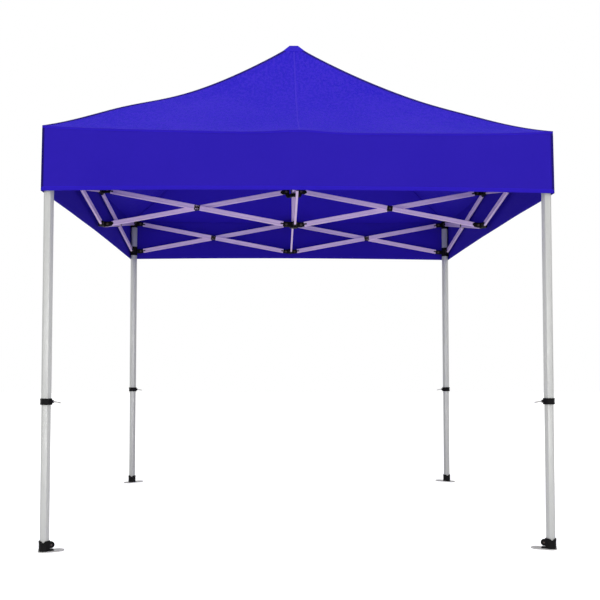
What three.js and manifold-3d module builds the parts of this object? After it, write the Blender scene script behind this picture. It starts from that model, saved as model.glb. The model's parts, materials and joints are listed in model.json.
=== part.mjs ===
// Pop up canopy on a folding scissor frame: four telescopic hexagonal legs, a perimeter truss of
// eight scissor pairs, four inner scissor arms that meet at a centre hub, a peak pole, and a hip
// roof with a valance. Millimetres, +Z up. The origin is on the floor at the centre of the legs,
// and -Y is the front.

import * as THREE from 'three';
import { mergeVertices } from 'three/addons/utils/BufferGeometryUtils.js';
import Module from 'manifold-3d';

const wasm = await Module();
wasm.setup();

// ---- Driving dimensions ----

// Frame layout
const LEG_SPACING = 2900; // between leg axes, along X and along Y
const UPPER_JOINT_Z = 2382; // pins of the fixed upper joints
const LOWER_JOINT_Z = 2130; // pins of the joints that slide down as the frame folds
const LEG_LUG = 62; // leg axis to the pin beside it
const MID_LUG = 40; // middle of a side to the pin beside it
const ARM_LUG = 46; // side truss to the pin of the inner arm

// Scissor bars
const BAR_HEIGHT = 35;
const BAR_THICKNESS = 15;
const BAR_WALL = 1.5;
const SLEEVE_LENGTH = 42; // nylon sleeve round a bar where it crosses its partner
const SLEEVE_PROUD = 1;

// Joints
const GAP = 0.3; // running gap between parts that touch
const BOLT_RADIUS = 4;
const BOLT_HEAD_RADIUS = 8;
const BOLT_HEAD_HEIGHT = 3;
const CHEEK = 5; // thickness of a fork's cheek
const CHEEK_NOSE = 16; // cheek past its pin
const CHEEK_HALF_HEIGHT = 18;
const BRACKET_BAR_GAP = 3; // between a side bracket's core and the ends of its bars
const BRACKET_CROWN = 22; // core above the pins
const CUTTER = 200; // length of a cutter that passes right through a part

// Legs, hexagonal with flats facing front and back
const OUTER_TUBE_FLATS = 51;
const INNER_TUBE_FLATS = 47.4;
const TUBE_WALL = 1.5;
const OUTER_TUBE_BOTTOM = 836;
const OUTER_TUBE_TOP = 2400;
const INNER_TUBE_TOP = 1150;
const SOCKET_FLATS = 62; // outside of the lock collar
const HEAD_FLATS = 56; // outside of the slimmer top bracket and slider, behind the valance
const SLIDER_HALF_HEIGHT = 40;
const CAP_BOTTOM = 2348;
const CAP_TOP = 2415;
const COLLAR_BOTTOM = 832;
const COLLAR_TOP = 868;
const LEG_FORK_ROOT = 15; // leg axis to where a fork starts inside the nylon's wall

// Leg lock
const LOCK_Z = 850;
const LOCK_PIN_RADIUS = 3;
const LOCK_PIN_TIP = 27.8;
const LOCK_BOSS_END = 42;
const LOCK_BOSS_HALF = 9;
const RING_CENTRE = 64;
const RING_OUTER = 21;
const RING_INNER = 15.5;
const RING_THICKNESS = 3;
const RING_BITE = 2; // how far the pin reaches into the ring

// Feet
const PLATE_RADIUS = 40; // half the plate's width, and its round ends
const PLATE_INNER_END = 72; // leg axis to the centre of the plate's inner round end
const PLATE_OUTER_END = { front: 4, back: -40 }; // the front plates stop under their sockets
const PLATE_TURN = { front: 25, back: 40 }; // degrees the plate's inner end is turned backwards
const PLATE_THICKNESS = 5;
const STAKE_HOLE_RADIUS = 7;
const STAKE_HOLE_INSET = 20; // from the centre of a round end outwards
const FOOT_FLATS = 59; // outside of the foot's socket
const FOOT_HEIGHT = 63;
const FOOT_FLOOR = 9;
const FOOT_ROOT = 1; // where the socket, lug and pad start inside the plate
const LUG_TURN = { front: 0, back: 50 }; // degrees from the plate's inner end to the lug and its pad
const LUG_CENTRE = 37; // leg axis to the middle of the lug's round end
const LUG_LEVEL = 36; // height of the lug's middle
const LUG_RADIUS = 19;
const LUG_HALF_WIDTH = 11;
const PAD_REACH = 52; // the low pad under the lug
const PAD_HALF_WIDTH = 20;
const PAD_TOP = 11;
const NOTCH_SIDE = 17; // side of the square bar that cuts the V in the foot's rim

// Hubs and peak pole
const HUB_RADIUS = 31;
const HUB_FLOOR = UPPER_JOINT_Z - 18;
const HUB_BOTTOM = UPPER_JOINT_Z - 44;
const HUB_FORK_ROOT = 22; // hub axis to where a fork starts inside the boss
const HUB_NEST_RADIUS = 32; // room between the upper hub's forks for the pole's cap
const HUB_SKIRT = 8; // lower hub below its forks
const POLE_RADIUS = 16;
const POLE_WALL = 1.6;
const POLE_CAP_RADIUS = 30;
const POLE_CAP_THICKNESS = 8;
const POLE_CAP_RIM = 4;
const POLE_CAP_SLOPE = 8;
const ROUND_SEGMENTS = 16;
const POLE_BOTTOM = LOWER_JOINT_Z - 20;
const POLE_TOP = 3492.5;

// Canopy cover
const COVER_HALF = 1485; // outside of the valance at the eave
const COVER_THICKNESS = 1.6;
const EAVE_Z = 2408;
const PEAK_Z = 3495;
const PEAK_HALF = 31; // the flat patch over the pole's cap
const RIDGE_SAG = 90;
const PANEL_SAG = 24;
const CORNER_LIFT = 18;
const CORNER_LIFT_POWER = 6; // how tightly the lift keeps to the corner
const MIDDLE_LIFT = 16;
const MIDDLE_LIFT_SPREAD = 0.12; // share of half a side
const EAVE_LIFT_POWER = 9; // how tightly both lifts keep to the eave
const LEFT_FULLNESS = 38; // extra height of the front left ridge, which is fuller than the others
const LEFT_FULLNESS_RING = 0.78; // where it is highest, and how far it spreads down the slope
const LEFT_FULLNESS_SPREAD = 0.2;
const LEFT_FULLNESS_POWER = 8; // how tightly it keeps to the ridge
const VALANCE_BOTTOM_Z = 2060;
const VALANCE_FLARE = 3;
const COVER_STEPS = 8; // along each side
const ROOF_RINGS = 7;
const RING_SPACING_POWER = 1.1; // above 1, the rings lie closer together towards the peak

// ---- Derived sizes ----

const HALF_SPAN = LEG_SPACING / 2;
const HUB_LUG = LEG_LUG + MID_LUG - ARM_LUG;
const BAR_REACH = HALF_SPAN - LEG_LUG - MID_LUG;
const JOINT_RISE = UPPER_JOINT_Z - LOWER_JOINT_Z;
const BAR_PITCH = Math.hypot(BAR_REACH, JOINT_RISE); // pin to pin
const BAR_SLOPE = Math.atan2(JOINT_RISE, BAR_REACH);
const PLANE = BAR_THICKNESS / 2 + SLEEVE_PROUD + GAP / 2; // truss centre to each bar's centre
const FORK_HALF_GAP = BAR_THICKNESS / 2 + GAP;
const BOLT_SEGMENTS = 8;
const HOLE_RADIUS = (BOLT_RADIUS + GAP) / Math.cos(Math.PI / BOLT_SEGMENTS); // clears a bolt's corners
const WELD_DISTANCE = 1e-4; // corners nearer than this are one

// ---- Materials ----

const aluminium = new THREE.MeshStandardMaterial({ color: 0xd6d8dc, roughness: 0.35, metalness: 0.9 });
const barMetal = new THREE.MeshStandardMaterial({ color: 0xc9c6cf, roughness: 0.4, metalness: 0.85 });
const nylon = new THREE.MeshStandardMaterial({ color: 0x15161a, roughness: 0.55, metalness: 0 });
const steel = new THREE.MeshStandardMaterial({ color: 0x8d8478, roughness: 0.4, metalness: 0.9 });
const polyester = new THREE.MeshStandardMaterial({ color: 0x2f1fb4, roughness: 0.85, metalness: 0 });

// ---- Solid helpers ----

/** A manifold solid from a closed three.js geometry. */
function solid(geometry) {
  const bare = geometry.clone();
  bare.deleteAttribute('normal');
  bare.deleteAttribute('uv');
  const merged = mergeVertices(bare, WELD_DISTANCE);
  const corners = merged.index.array;
  const triangles = [];
  for (let first = 0; first < corners.length; first += 3) {
    const [a, b, c] = corners.slice(first, first + 3);
    if (a !== b && b !== c && c !== a) {
      triangles.push(a, b, c);
    }
  }
  return new wasm.Manifold(new wasm.Mesh({
    numProp: 3,
    vertProperties: new Float32Array(merged.attributes.position.array),
    triVerts: new Uint32Array(triangles),
  }));
}

/** The three.js geometry of a manifold solid. */
function geometryOf(shape) {
  const mesh = shape.getMesh();
  const geometry = new THREE.BufferGeometry();
  geometry.setAttribute('position', new THREE.BufferAttribute(mesh.vertProperties, 3));
  geometry.setIndex(new THREE.BufferAttribute(mesh.triVerts, 1));
  geometry.computeVertexNormals();
  return geometry;
}

function union(shapes) {
  return shapes.reduce((whole, shape) => whole.add(shape));
}

function cut(shape, tools) {
  return tools.reduce((rest, tool) => rest.subtract(tool), shape);
}

/** A block from three [end, end] pairs, whose ends come in either order. */
function block(...ends) {
  const size = ends.map(([a, b]) => Math.abs(b - a));
  const middle = ends.map(([a, b]) => (a + b) / 2);
  return solid(new THREE.BoxGeometry(...size).translate(...middle));
}

/** A round rod along axis 0 (X), 1 (Y) or 2 (Z), centred on `centre`. */
function rod(axis, radius, length, centre, segments = BOLT_SEGMENTS) {
  const geometry = new THREE.CylinderGeometry(radius, radius, length, segments);
  if (axis === 0) {
    geometry.rotateZ(Math.PI / 2);
  }
  if (axis === 2) {
    geometry.rotateX(Math.PI / 2);
  }
  return solid(geometry.translate(...centre));
}

/** A hexagonal prism along Z with its flats facing front and back. */
function hexPrism(flats, bottom, top) {
  const radius = flats / Math.sqrt(3);
  const geometry = new THREE.CylinderGeometry(radius, radius, top - bottom, 6);
  geometry.rotateX(Math.PI / 2).rotateZ(Math.PI / 6);
  return solid(geometry.translate(0, 0, (bottom + top) / 2));
}

/** Two cheeks and the bolt between them, reaching along `axis` from `root` to past `pin`. */
function fork(axis, root, pin, plane, z, drop = CHEEK_HALF_HEIGHT) {
  const across = 1 - axis;
  const tip = pin + Math.sign(pin - root) * CHEEK_NOSE;
  const pieces = [-1, 1].map((side) => {
    const ends = [];
    ends[axis] = [root, tip];
    ends[across] = [plane + side * FORK_HALF_GAP, plane + side * (FORK_HALF_GAP + CHEEK)];
    ends[2] = [z - drop, z + CHEEK_HALF_HEIGHT];
    return block(...ends);
  });
  const centre = [0, 0, z];
  centre[axis] = pin;
  centre[across] = plane;
  pieces.push(rod(across, BOLT_RADIUS, 2 * FORK_HALF_GAP + CHEEK, centre));
  return union(pieces);
}

// ---- Scissor bars ----

/** A hollow bar along +X from the pin at the origin; its partner lies on its +Y side. */
function barSolid(carriesBolt) {
  const radius = BAR_HEIGHT / 2;
  const outline = new THREE.Shape();
  outline.absarc(BAR_PITCH, 0, radius, -Math.PI / 2, Math.PI / 2);
  outline.absarc(0, 0, radius, Math.PI / 2, Math.PI * 1.5);
  const side = new THREE.ExtrudeGeometry(outline, {
    depth: BAR_THICKNESS, bevelEnabled: false, curveSegments: 4,
  });
  side.rotateX(Math.PI / 2).translate(0, BAR_THICKNESS / 2, 0);
  const middle = BAR_PITCH / 2;
  const sleeveHalf = BAR_THICKNESS / 2 + SLEEVE_PROUD;
  const sleeve = block(
    [middle - SLEEVE_LENGTH / 2, middle + SLEEVE_LENGTH / 2],
    [-sleeveHalf, sleeveHalf],
    [-radius - SLEEVE_PROUD, radius + SLEEVE_PROUD],
  );
  const hollow = block(
    [-BAR_HEIGHT, BAR_PITCH + BAR_HEIGHT],
    [-BAR_THICKNESS / 2 + BAR_WALL, BAR_THICKNESS / 2 - BAR_WALL],
    [-radius + BAR_WALL, radius - BAR_WALL],
  );
  const holes = [0, BAR_PITCH].map((x) => rod(1, HOLE_RADIUS, 2 * BAR_THICKNESS, [x, 0, 0]));
  const tube = cut(solid(side).add(sleeve), [hollow, ...holes]);
  if (!carriesBolt) {
    return tube.subtract(rod(1, HOLE_RADIUS, 2 * BAR_THICKNESS, [middle, 0, 0]));
  }
  const farFace = 2 * PLANE + sleeveHalf + GAP;
  const shankEnd = farFace + BOLT_HEAD_HEIGHT;
  const shankMiddle = [middle, (shankEnd - sleeveHalf) / 2, 0];
  const shank = rod(1, BOLT_RADIUS, shankEnd + sleeveHalf, shankMiddle);
  const heads = [farFace + BOLT_HEAD_HEIGHT / 2, -sleeveHalf - BOLT_HEAD_HEIGHT / 2].map((y) => (
    rod(1, BOLT_HEAD_RADIUS, BOLT_HEAD_HEIGHT, [middle, y, 0], 6)
  ));
  return union([tube, shank, ...heads]);
}

// ---- Brackets of the trusses ----

/** A side's bracket, seen from the hub: the truss runs along X at `plane`, the inner arm along +Y. */
function sideBracket(z, trussPlane, armPlane) {
  const halfWidth = MID_LUG - BAR_HEIGHT / 2 - BRACKET_BAR_GAP;
  const halfDepth = PLANE + FORK_HALF_GAP + CHEEK;
  const body = block(
    [-halfWidth, halfWidth],
    [-halfDepth, halfDepth],
    [z - CHEEK_HALF_HEIGHT, z + BRACKET_CROWN],
  );
  return union([
    body,
    fork(0, 0, MID_LUG, trussPlane, z),
    fork(0, 0, -MID_LUG, trussPlane, z),
    fork(1, 0, ARM_LUG, armPlane, z),
  ]);
}

/** Four forks round a central boss; the arm's plane is turned with its fork. */
function hubForks(z, armPlane, drop) {
  const oneFork = fork(0, HUB_FORK_ROOT, HUB_LUG, armPlane, z, drop);
  const turns = [0, 1, 2, 3].map((quarter) => oneFork.rotate([0, 0, 90 * quarter]));
  return union(turns);
}

/** The fixed hub: a low boss bored for the pole, so that the pole's cap nests between the forks. */
function upperHub() {
  const middle = [0, 0, (HUB_FLOOR + HUB_BOTTOM) / 2];
  const boss = rod(2, HUB_RADIUS, HUB_FLOOR - HUB_BOTTOM, middle, ROUND_SEGMENTS);
  const forks = hubForks(UPPER_JOINT_Z, -PLANE, UPPER_JOINT_Z - HUB_BOTTOM);
  const nest = rod(2, HUB_NEST_RADIUS, CUTTER, [0, 0, HUB_FLOOR + CUTTER / 2], ROUND_SEGMENTS);
  const bore = rod(2, POLE_RADIUS + 2 * GAP, CUTTER, [0, 0, UPPER_JOINT_Z], ROUND_SEGMENTS);
  return cut(union([boss, forks]), [nest, bore]);
}

/** The hub that carries the pole, which stands in its blind socket. */
function lowerHub() {
  const bottom = LOWER_JOINT_Z - CHEEK_HALF_HEIGHT - HUB_SKIRT;
  const top = LOWER_JOINT_Z + CHEEK_HALF_HEIGHT;
  const boss = rod(2, HUB_RADIUS, top - bottom, [0, 0, (top + bottom) / 2], ROUND_SEGMENTS);
  const socketMiddle = [0, 0, POLE_BOTTOM - GAP + CUTTER / 2];
  const socket = rod(2, POLE_RADIUS + GAP, CUTTER, socketMiddle, ROUND_SEGMENTS);
  return hubForks(LOWER_JOINT_Z, PLANE, CHEEK_HALF_HEIGHT).add(boss).subtract(socket);
}

/** The hollow pole with its domed cap, open at the bottom. */
function peakPole() {
  const capBottom = POLE_TOP - POLE_CAP_THICKNESS;
  const profile = [
    [0, capBottom], [POLE_RADIUS - POLE_WALL, capBottom], [POLE_RADIUS - POLE_WALL, POLE_BOTTOM],
    [POLE_RADIUS, POLE_BOTTOM], [POLE_RADIUS, capBottom], [POLE_CAP_RADIUS, capBottom],
    [POLE_CAP_RADIUS, capBottom + POLE_CAP_RIM], [POLE_CAP_RADIUS - POLE_CAP_SLOPE, POLE_TOP],
    [0, POLE_TOP],
  ];
  const outline = profile.map(([r, z]) => new THREE.Vector2(r, z));
  const geometry = new THREE.LatheGeometry(outline, ROUND_SEGMENTS);
  return solid(geometry.rotateX(Math.PI / 2));
}

// ---- Legs ----
// sx and sy are the signs of a leg's corner, and every solid here is drawn about the leg's own axis.

/** The two forks of a leg's nylon piece, whose bars lie `plane` outwards of the leg's axis. */
function cornerForks(sx, sy, plane, z) {
  return union([
    fork(0, -sx * LEG_FORK_ROOT, -sx * LEG_LUG, sy * plane, z),
    fork(1, -sy * LEG_FORK_ROOT, -sy * LEG_LUG, sx * plane, z),
  ]);
}

function legSlider(sx, sy) {
  const bottom = LOWER_JOINT_Z - SLIDER_HALF_HEIGHT;
  const body = hexPrism(HEAD_FLATS, bottom, LOWER_JOINT_Z + SLIDER_HALF_HEIGHT);
  const bore = hexPrism(OUTER_TUBE_FLATS + 4 * GAP, LOWER_JOINT_Z - CUTTER, LOWER_JOINT_Z + CUTTER);
  return body.add(cornerForks(sx, sy, PLANE, LOWER_JOINT_Z)).subtract(bore);
}

function topBracket(sx, sy) {
  const body = hexPrism(HEAD_FLATS, CAP_BOTTOM, CAP_TOP);
  const recess = hexPrism(OUTER_TUBE_FLATS + 2 * GAP, CAP_BOTTOM - CUTTER, OUTER_TUBE_TOP + GAP);
  return body.add(cornerForks(sx, sy, -PLANE, UPPER_JOINT_Z)).subtract(recess);
}

/** The upper tube with the lock collar round its bottom end, whose boss points inwards along X. */
function outerLeg(sx) {
  const tube = hexPrism(OUTER_TUBE_FLATS, OUTER_TUBE_BOTTOM, OUTER_TUBE_TOP);
  const collar = hexPrism(SOCKET_FLATS, COLLAR_BOTTOM, COLLAR_TOP);
  const boss = block(
    [0, -sx * LOCK_BOSS_END],
    [-LOCK_BOSS_HALF, LOCK_BOSS_HALF],
    [LOCK_Z - LOCK_BOSS_HALF, LOCK_Z + LOCK_BOSS_HALF],
  );
  const inside = OUTER_TUBE_FLATS - 2 * TUBE_WALL;
  const bore = hexPrism(inside, COLLAR_BOTTOM - CUTTER, OUTER_TUBE_TOP + CUTTER);
  const pinHole = rod(0, LOCK_PIN_RADIUS + GAP, CUTTER, [-sx * CUTTER / 2, 0, LOCK_Z]);
  return cut(union([tube, collar, boss]), [bore, pinHole]);
}

/** The spring pin and its flat pull ring. */
function lockPin(sx) {
  const shankEnd = RING_CENTRE - RING_INNER - RING_BITE;
  const shankMiddle = [-sx * (shankEnd + LOCK_PIN_TIP) / 2, 0, LOCK_Z];
  const shank = rod(0, LOCK_PIN_RADIUS, shankEnd - LOCK_PIN_TIP, shankMiddle);
  const centre = [-sx * RING_CENTRE, 0, LOCK_Z];
  const disc = rod(2, RING_OUTER, RING_THICKNESS, centre, 12);
  const opening = rod(2, RING_INNER, 2 * RING_THICKNESS, centre, 12);
  return disc.subtract(opening).add(shank);
}

function innerLeg() {
  const bottom = FOOT_FLOOR + GAP;
  const tube = hexPrism(INNER_TUBE_FLATS, bottom, INNER_TUBE_TOP);
  const inside = INNER_TUBE_FLATS - 2 * TUBE_WALL;
  return tube.subtract(hexPrism(inside, bottom - CUTTER, INNER_TUBE_TOP + CUTTER));
}

/** The steel plate with its stake holes, and the hexagonal socket, lug and pad that stand on it. */
function foot(sx, sy) {
  const end = sy < 0 ? 'front' : 'back';
  const outerEnd = PLATE_OUTER_END[end];
  const outline = new THREE.Shape();
  outline.absarc(PLATE_INNER_END, 0, PLATE_RADIUS, -Math.PI / 2, Math.PI / 2);
  outline.absarc(outerEnd, 0, PLATE_RADIUS, Math.PI / 2, Math.PI * 1.5);
  const plate = solid(new THREE.ExtrudeGeometry(outline, {
    depth: PLATE_THICKNESS, bevelEnabled: false, curveSegments: 7,
  }));
  const holePlaces = [PLATE_INNER_END + STAKE_HOLE_INSET];
  if (outerEnd < 0) holePlaces.push(outerEnd - STAKE_HOLE_INSET);
  const stakeHoles = holePlaces.map((x) => rod(2, STAKE_HOLE_RADIUS, CUTTER, [x, 0, 0]));
  const side = new THREE.Shape();
  side.moveTo(0, LUG_LEVEL - LUG_RADIUS);
  side.absarc(LUG_CENTRE, LUG_LEVEL, LUG_RADIUS, -Math.PI / 2, Math.PI / 2);
  side.lineTo(0, LUG_LEVEL + LUG_RADIUS);
  const lug = solid(new THREE.ExtrudeGeometry(side, {
    depth: 2 * LUG_HALF_WIDTH, bevelEnabled: false, curveSegments: 7,
  }).rotateX(Math.PI / 2).translate(0, LUG_HALF_WIDTH, 0));
  const pad = block([0, PAD_REACH], [-PAD_HALF_WIDTH, PAD_HALF_WIDTH], [FOOT_ROOT, PAD_TOP]);
  const plateTurn = sx < 0 ? PLATE_TURN[end] : 180 - PLATE_TURN[end];
  const lugTurn = sx < 0 ? LUG_TURN[end] : -LUG_TURN[end];
  const base = cut(plate.add(lug.add(pad).rotate([0, 0, lugTurn])), stakeHoles).rotate([0, 0, plateTurn]);
  const socket = hexPrism(FOOT_FLATS, FOOT_ROOT, FOOT_HEIGHT);
  const recess = hexPrism(INNER_TUBE_FLATS + 2 * GAP, FOOT_FLOOR, CUTTER);
  const notchEnds = [-NOTCH_SIDE / 2, NOTCH_SIDE / 2];
  const notch = block(notchEnds, [-CUTTER / 2, CUTTER / 2], notchEnds)
    .rotate([0, 45, 0]).translate([0, 0, FOOT_HEIGHT]);
  return cut(base.add(socket), [recess, notch]);
}

// ---- Canopy cover ----

function bell(value, middle, spread) {
  return Math.exp(-(((value - middle) / spread) ** 2));
}

/** Height of the roof where `ring` runs from 0 at the peak patch to 1 at the eave, `along` a side. */
function roofHeight(ring, along) {
  const up = 1 - ring;
  const bow = 4 * up * ring;
  const cornerLift = CORNER_LIFT * along ** CORNER_LIFT_POWER;
  const lift = cornerLift + MIDDLE_LIFT * bell(along, 0, MIDDLE_LIFT_SPREAD);
  const sag = RIDGE_SAG + PANEL_SAG * (1 - along ** 2);
  return EAVE_Z + (PEAK_Z - EAVE_Z) * up - sag * bow + lift * ring ** EAVE_LIFT_POWER;
}

function leftFullness(point, ring) {
  const towards = Math.max(0, (-point.x - point.y) / Math.hypot(point.x, point.y) / Math.SQRT2);
  const share = bell(ring, LEFT_FULLNESS_RING, LEFT_FULLNESS_SPREAD) * towards ** LEFT_FULLNESS_POWER;
  return LEFT_FULLNESS * share;
}

/** One closed sheet: rings of points down the outside, under the hem and back up the inside. */
function coverGeometry() {
  const rings = [];
  const square = (half, heightAt) => {
    const points = [];
    for (let side = 0; side < 4; side += 1) {
      const turn = new THREE.Matrix4().makeRotationZ(side * Math.PI / 2);
      for (let step = 0; step < COVER_STEPS; step += 1) {
        const along = -1 + 2 * step / COVER_STEPS;
        points.push(new THREE.Vector3(along * half, -half, heightAt(along)).applyMatrix4(turn));
      }
    }
    return points;
  };
  const roofRing = (index, inset) => {
    const ring = (index / ROOF_RINGS) ** RING_SPACING_POWER;
    const half = PEAK_HALF + (COVER_HALF - PEAK_HALF) * ring;
    const shrink = index === ROOF_RINGS ? inset : 0;
    const points = square(half - shrink, (along) => roofHeight(ring, along) - inset);
    points.forEach((point) => point.setZ(point.z + leftFullness(point, ring)));
    return points;
  };
  for (let index = 0; index <= ROOF_RINGS; index += 1) {
    rings.push(roofRing(index, 0));
  }
  const hem = COVER_HALF + VALANCE_FLARE;
  rings.push(square(hem, () => VALANCE_BOTTOM_Z));
  rings.push(square(hem - COVER_THICKNESS, () => VALANCE_BOTTOM_Z));
  for (let index = ROOF_RINGS; index >= 0; index -= 1) {
    rings.push(roofRing(index, COVER_THICKNESS));
  }
  const positions = rings.flat().flatMap((point) => point.toArray());
  const count = 4 * COVER_STEPS;
  const faces = [];
  for (let ring = 0; ring + 1 < rings.length; ring += 1) {
    for (let step = 0; step < count; step += 1) {
      const next = (step + 1) % count;
      const a = ring * count + step;
      const b = ring * count + next;
      faces.push(a, a + count, b, b, a + count, b + count);
    }
  }
  const closePeak = (ring, z, outside) => {
    const centre = positions.length / 3;
    positions.push(0, 0, z);
    for (let step = 0; step < count; step += 1) {
      const a = ring * count + step;
      const b = ring * count + (step + 1) % count;
      faces.push(...(outside ? [centre, a, b] : [centre, b, a]));
    }
  };
  closePeak(0, PEAK_Z, true);
  closePeak(rings.length - 1, PEAK_Z - COVER_THICKNESS, false);
  const geometry = new THREE.BufferGeometry();
  geometry.setAttribute('position', new THREE.Float32BufferAttribute(positions, 3));
  geometry.setIndex(faces);
  geometry.computeVertexNormals();
  return geometry;
}

// ---- Assembly ----

const canopy = new THREE.Group();

/** Adds one named mesh to a group at a place and rotation. */
function place(group, name, geometry, material, position = [0, 0, 0], rotation = [0, 0, 0]) {
  const mesh = new THREE.Mesh(geometry, material);
  mesh.name = name;
  mesh.position.set(...position);
  mesh.rotation.set(...rotation);
  group.add(mesh);
}

const fallingBar = geometryOf(barSolid(true));
const risingBar = geometryOf(barSolid(false));
const upperSideBracket = geometryOf(sideBracket(UPPER_JOINT_Z, -PLANE, PLANE));
const lowerSideBracket = geometryOf(sideBracket(LOWER_JOINT_Z, PLANE, -PLANE));

place(canopy, 'hub_upper', geometryOf(upperHub()), nylon);
place(canopy, 'hub_lower', geometryOf(lowerHub()), nylon);
place(canopy, 'peak_pole', geometryOf(peakPole()), aluminium);
place(canopy, 'canopy_cover', coverGeometry(), polyester);

// Each side is drawn as the front one, with its truss along X, and turned about the hub.
const sides = [
  { name: 'front', turn: 0, halves: { '-1': 'left', 1: 'right' } },
  { name: 'right', turn: 1, halves: { '-1': 'front', 1: 'back' } },
  { name: 'back', turn: 2, halves: { '-1': 'right', 1: 'left' } },
  { name: 'left', turn: 3, halves: { '-1': 'back', 1: 'front' } },
];
sides.forEach(({ name, turn, halves }) => {
  const side = new THREE.Group();
  side.rotation.z = turn * Math.PI / 2;
  place(side, `side_upper_bracket_${name}`, upperSideBracket, nylon, [0, -HALF_SPAN, 0]);
  place(side, `side_lower_bracket_${name}`, lowerSideBracket, nylon, [0, -HALF_SPAN, 0]);
  [-1, 1].forEach((half) => {
    const heading = half > 0 ? 0 : Math.PI;
    const end = `${name}_${halves[half]}`;
    const upper = [half * MID_LUG, -HALF_SPAN - PLANE, UPPER_JOINT_Z];
    const lower = [half * MID_LUG, -HALF_SPAN + PLANE, LOWER_JOINT_Z];
    const falling = [0, heading + half * BAR_SLOPE, 0];
    const rising = [0, heading - half * BAR_SLOPE, 0];
    place(side, `side_falling_bar_${end}`, fallingBar, barMetal, upper, falling);
    place(side, `side_rising_bar_${end}`, risingBar, barMetal, lower, rising);
  });
  const arm = new THREE.Group();
  arm.rotation.z = -Math.PI / 2;
  const upperPin = [HUB_LUG, -PLANE, UPPER_JOINT_Z];
  const lowerPin = [HUB_LUG, PLANE, LOWER_JOINT_Z];
  place(arm, `inner_falling_bar_${name}`, fallingBar, barMetal, upperPin, [0, BAR_SLOPE, 0]);
  place(arm, `inner_rising_bar_${name}`, risingBar, barMetal, lowerPin, [0, -BAR_SLOPE, 0]);
  side.add(arm);
  canopy.add(side);
});

const corners = [
  { name: 'front_left', sx: -1, sy: -1 },
  { name: 'front_right', sx: 1, sy: -1 },
  { name: 'back_right', sx: 1, sy: 1 },
  { name: 'back_left', sx: -1, sy: 1 },
];
corners.forEach(({ name, sx, sy }) => {
  const leg = new THREE.Group();
  leg.position.set(sx * HALF_SPAN, sy * HALF_SPAN, 0);
  place(leg, `top_bracket_${name}`, geometryOf(topBracket(sx, sy)), nylon);
  place(leg, `leg_slider_${name}`, geometryOf(legSlider(sx, sy)), nylon);
  place(leg, `outer_leg_${name}`, geometryOf(outerLeg(sx)), aluminium);
  place(leg, `lock_pin_${name}`, geometryOf(lockPin(sx)), steel);
  place(leg, `inner_leg_${name}`, geometryOf(innerLeg()), aluminium);
  place(leg, `foot_${name}`, geometryOf(foot(sx, sy)), nylon);
  canopy.add(leg);
});

export default canopy;
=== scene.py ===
"""Pop up canopy: the looks of the folding frame and its fabric cover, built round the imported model.

Metres, +Z up, origin on the floor between the legs, -Y is the front. Every piece is made of lofted
shells in mesh code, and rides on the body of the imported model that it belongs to.
"""

import json
from math import acos, atan2, cos, exp, hypot, pi, radians, sin, sqrt, tan

import bmesh
import bpy
from mathutils import Matrix, Vector, noise

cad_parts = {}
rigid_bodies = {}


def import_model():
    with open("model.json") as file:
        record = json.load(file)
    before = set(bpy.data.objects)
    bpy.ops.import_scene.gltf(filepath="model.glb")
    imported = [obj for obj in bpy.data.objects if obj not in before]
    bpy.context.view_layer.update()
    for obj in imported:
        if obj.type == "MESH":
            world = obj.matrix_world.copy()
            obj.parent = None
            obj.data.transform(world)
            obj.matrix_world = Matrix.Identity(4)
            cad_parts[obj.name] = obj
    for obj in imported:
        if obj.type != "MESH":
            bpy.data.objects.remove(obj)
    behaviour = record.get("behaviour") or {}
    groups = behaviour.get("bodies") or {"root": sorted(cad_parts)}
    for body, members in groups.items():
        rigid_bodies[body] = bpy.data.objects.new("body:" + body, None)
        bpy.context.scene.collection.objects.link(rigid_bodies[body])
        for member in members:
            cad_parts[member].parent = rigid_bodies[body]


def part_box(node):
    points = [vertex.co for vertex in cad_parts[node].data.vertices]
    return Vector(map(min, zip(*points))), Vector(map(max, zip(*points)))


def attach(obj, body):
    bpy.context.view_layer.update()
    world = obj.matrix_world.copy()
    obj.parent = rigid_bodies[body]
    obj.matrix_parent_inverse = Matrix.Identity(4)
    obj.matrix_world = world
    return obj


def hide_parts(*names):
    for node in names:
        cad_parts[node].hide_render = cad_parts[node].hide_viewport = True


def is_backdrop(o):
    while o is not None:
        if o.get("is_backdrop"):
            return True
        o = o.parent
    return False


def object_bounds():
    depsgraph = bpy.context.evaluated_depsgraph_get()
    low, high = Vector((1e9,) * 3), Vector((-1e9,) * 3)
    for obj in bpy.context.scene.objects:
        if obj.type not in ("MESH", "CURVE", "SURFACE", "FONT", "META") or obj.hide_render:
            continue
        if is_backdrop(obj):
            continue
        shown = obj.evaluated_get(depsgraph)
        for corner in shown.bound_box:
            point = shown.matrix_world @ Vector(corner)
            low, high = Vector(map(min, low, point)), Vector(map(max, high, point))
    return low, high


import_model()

cad_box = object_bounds()


def link(name, data):
    """A new object in the scene."""
    made = bpy.data.objects.new(name, data)
    bpy.context.scene.collection.objects.link(made)
    return made


# ---- Camera, where the photographer stood ----

CAMERA_PLACE = Vector((-0.1424, -6.2456, 1.0356))
CAMERA_YAW = radians(1.383)
CAMERA_PITCH = radians(2.521)
CAMERA_LENS = 49.786
CAMERA_SHIFT = (0.0087, 0.0544)


def make_camera():
    data = bpy.data.cameras.new("camera")
    data.sensor_width = 36
    data.lens = CAMERA_LENS
    data.shift_x, data.shift_y = CAMERA_SHIFT
    data.clip_end = 200
    camera = link("camera", data)
    camera.location = CAMERA_PLACE
    camera.rotation_euler = (pi / 2 + CAMERA_PITCH, 0, -CAMERA_YAW)
    bpy.context.scene.camera = camera


make_camera()

# ---- Places and sizes of the frame ----

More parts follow.
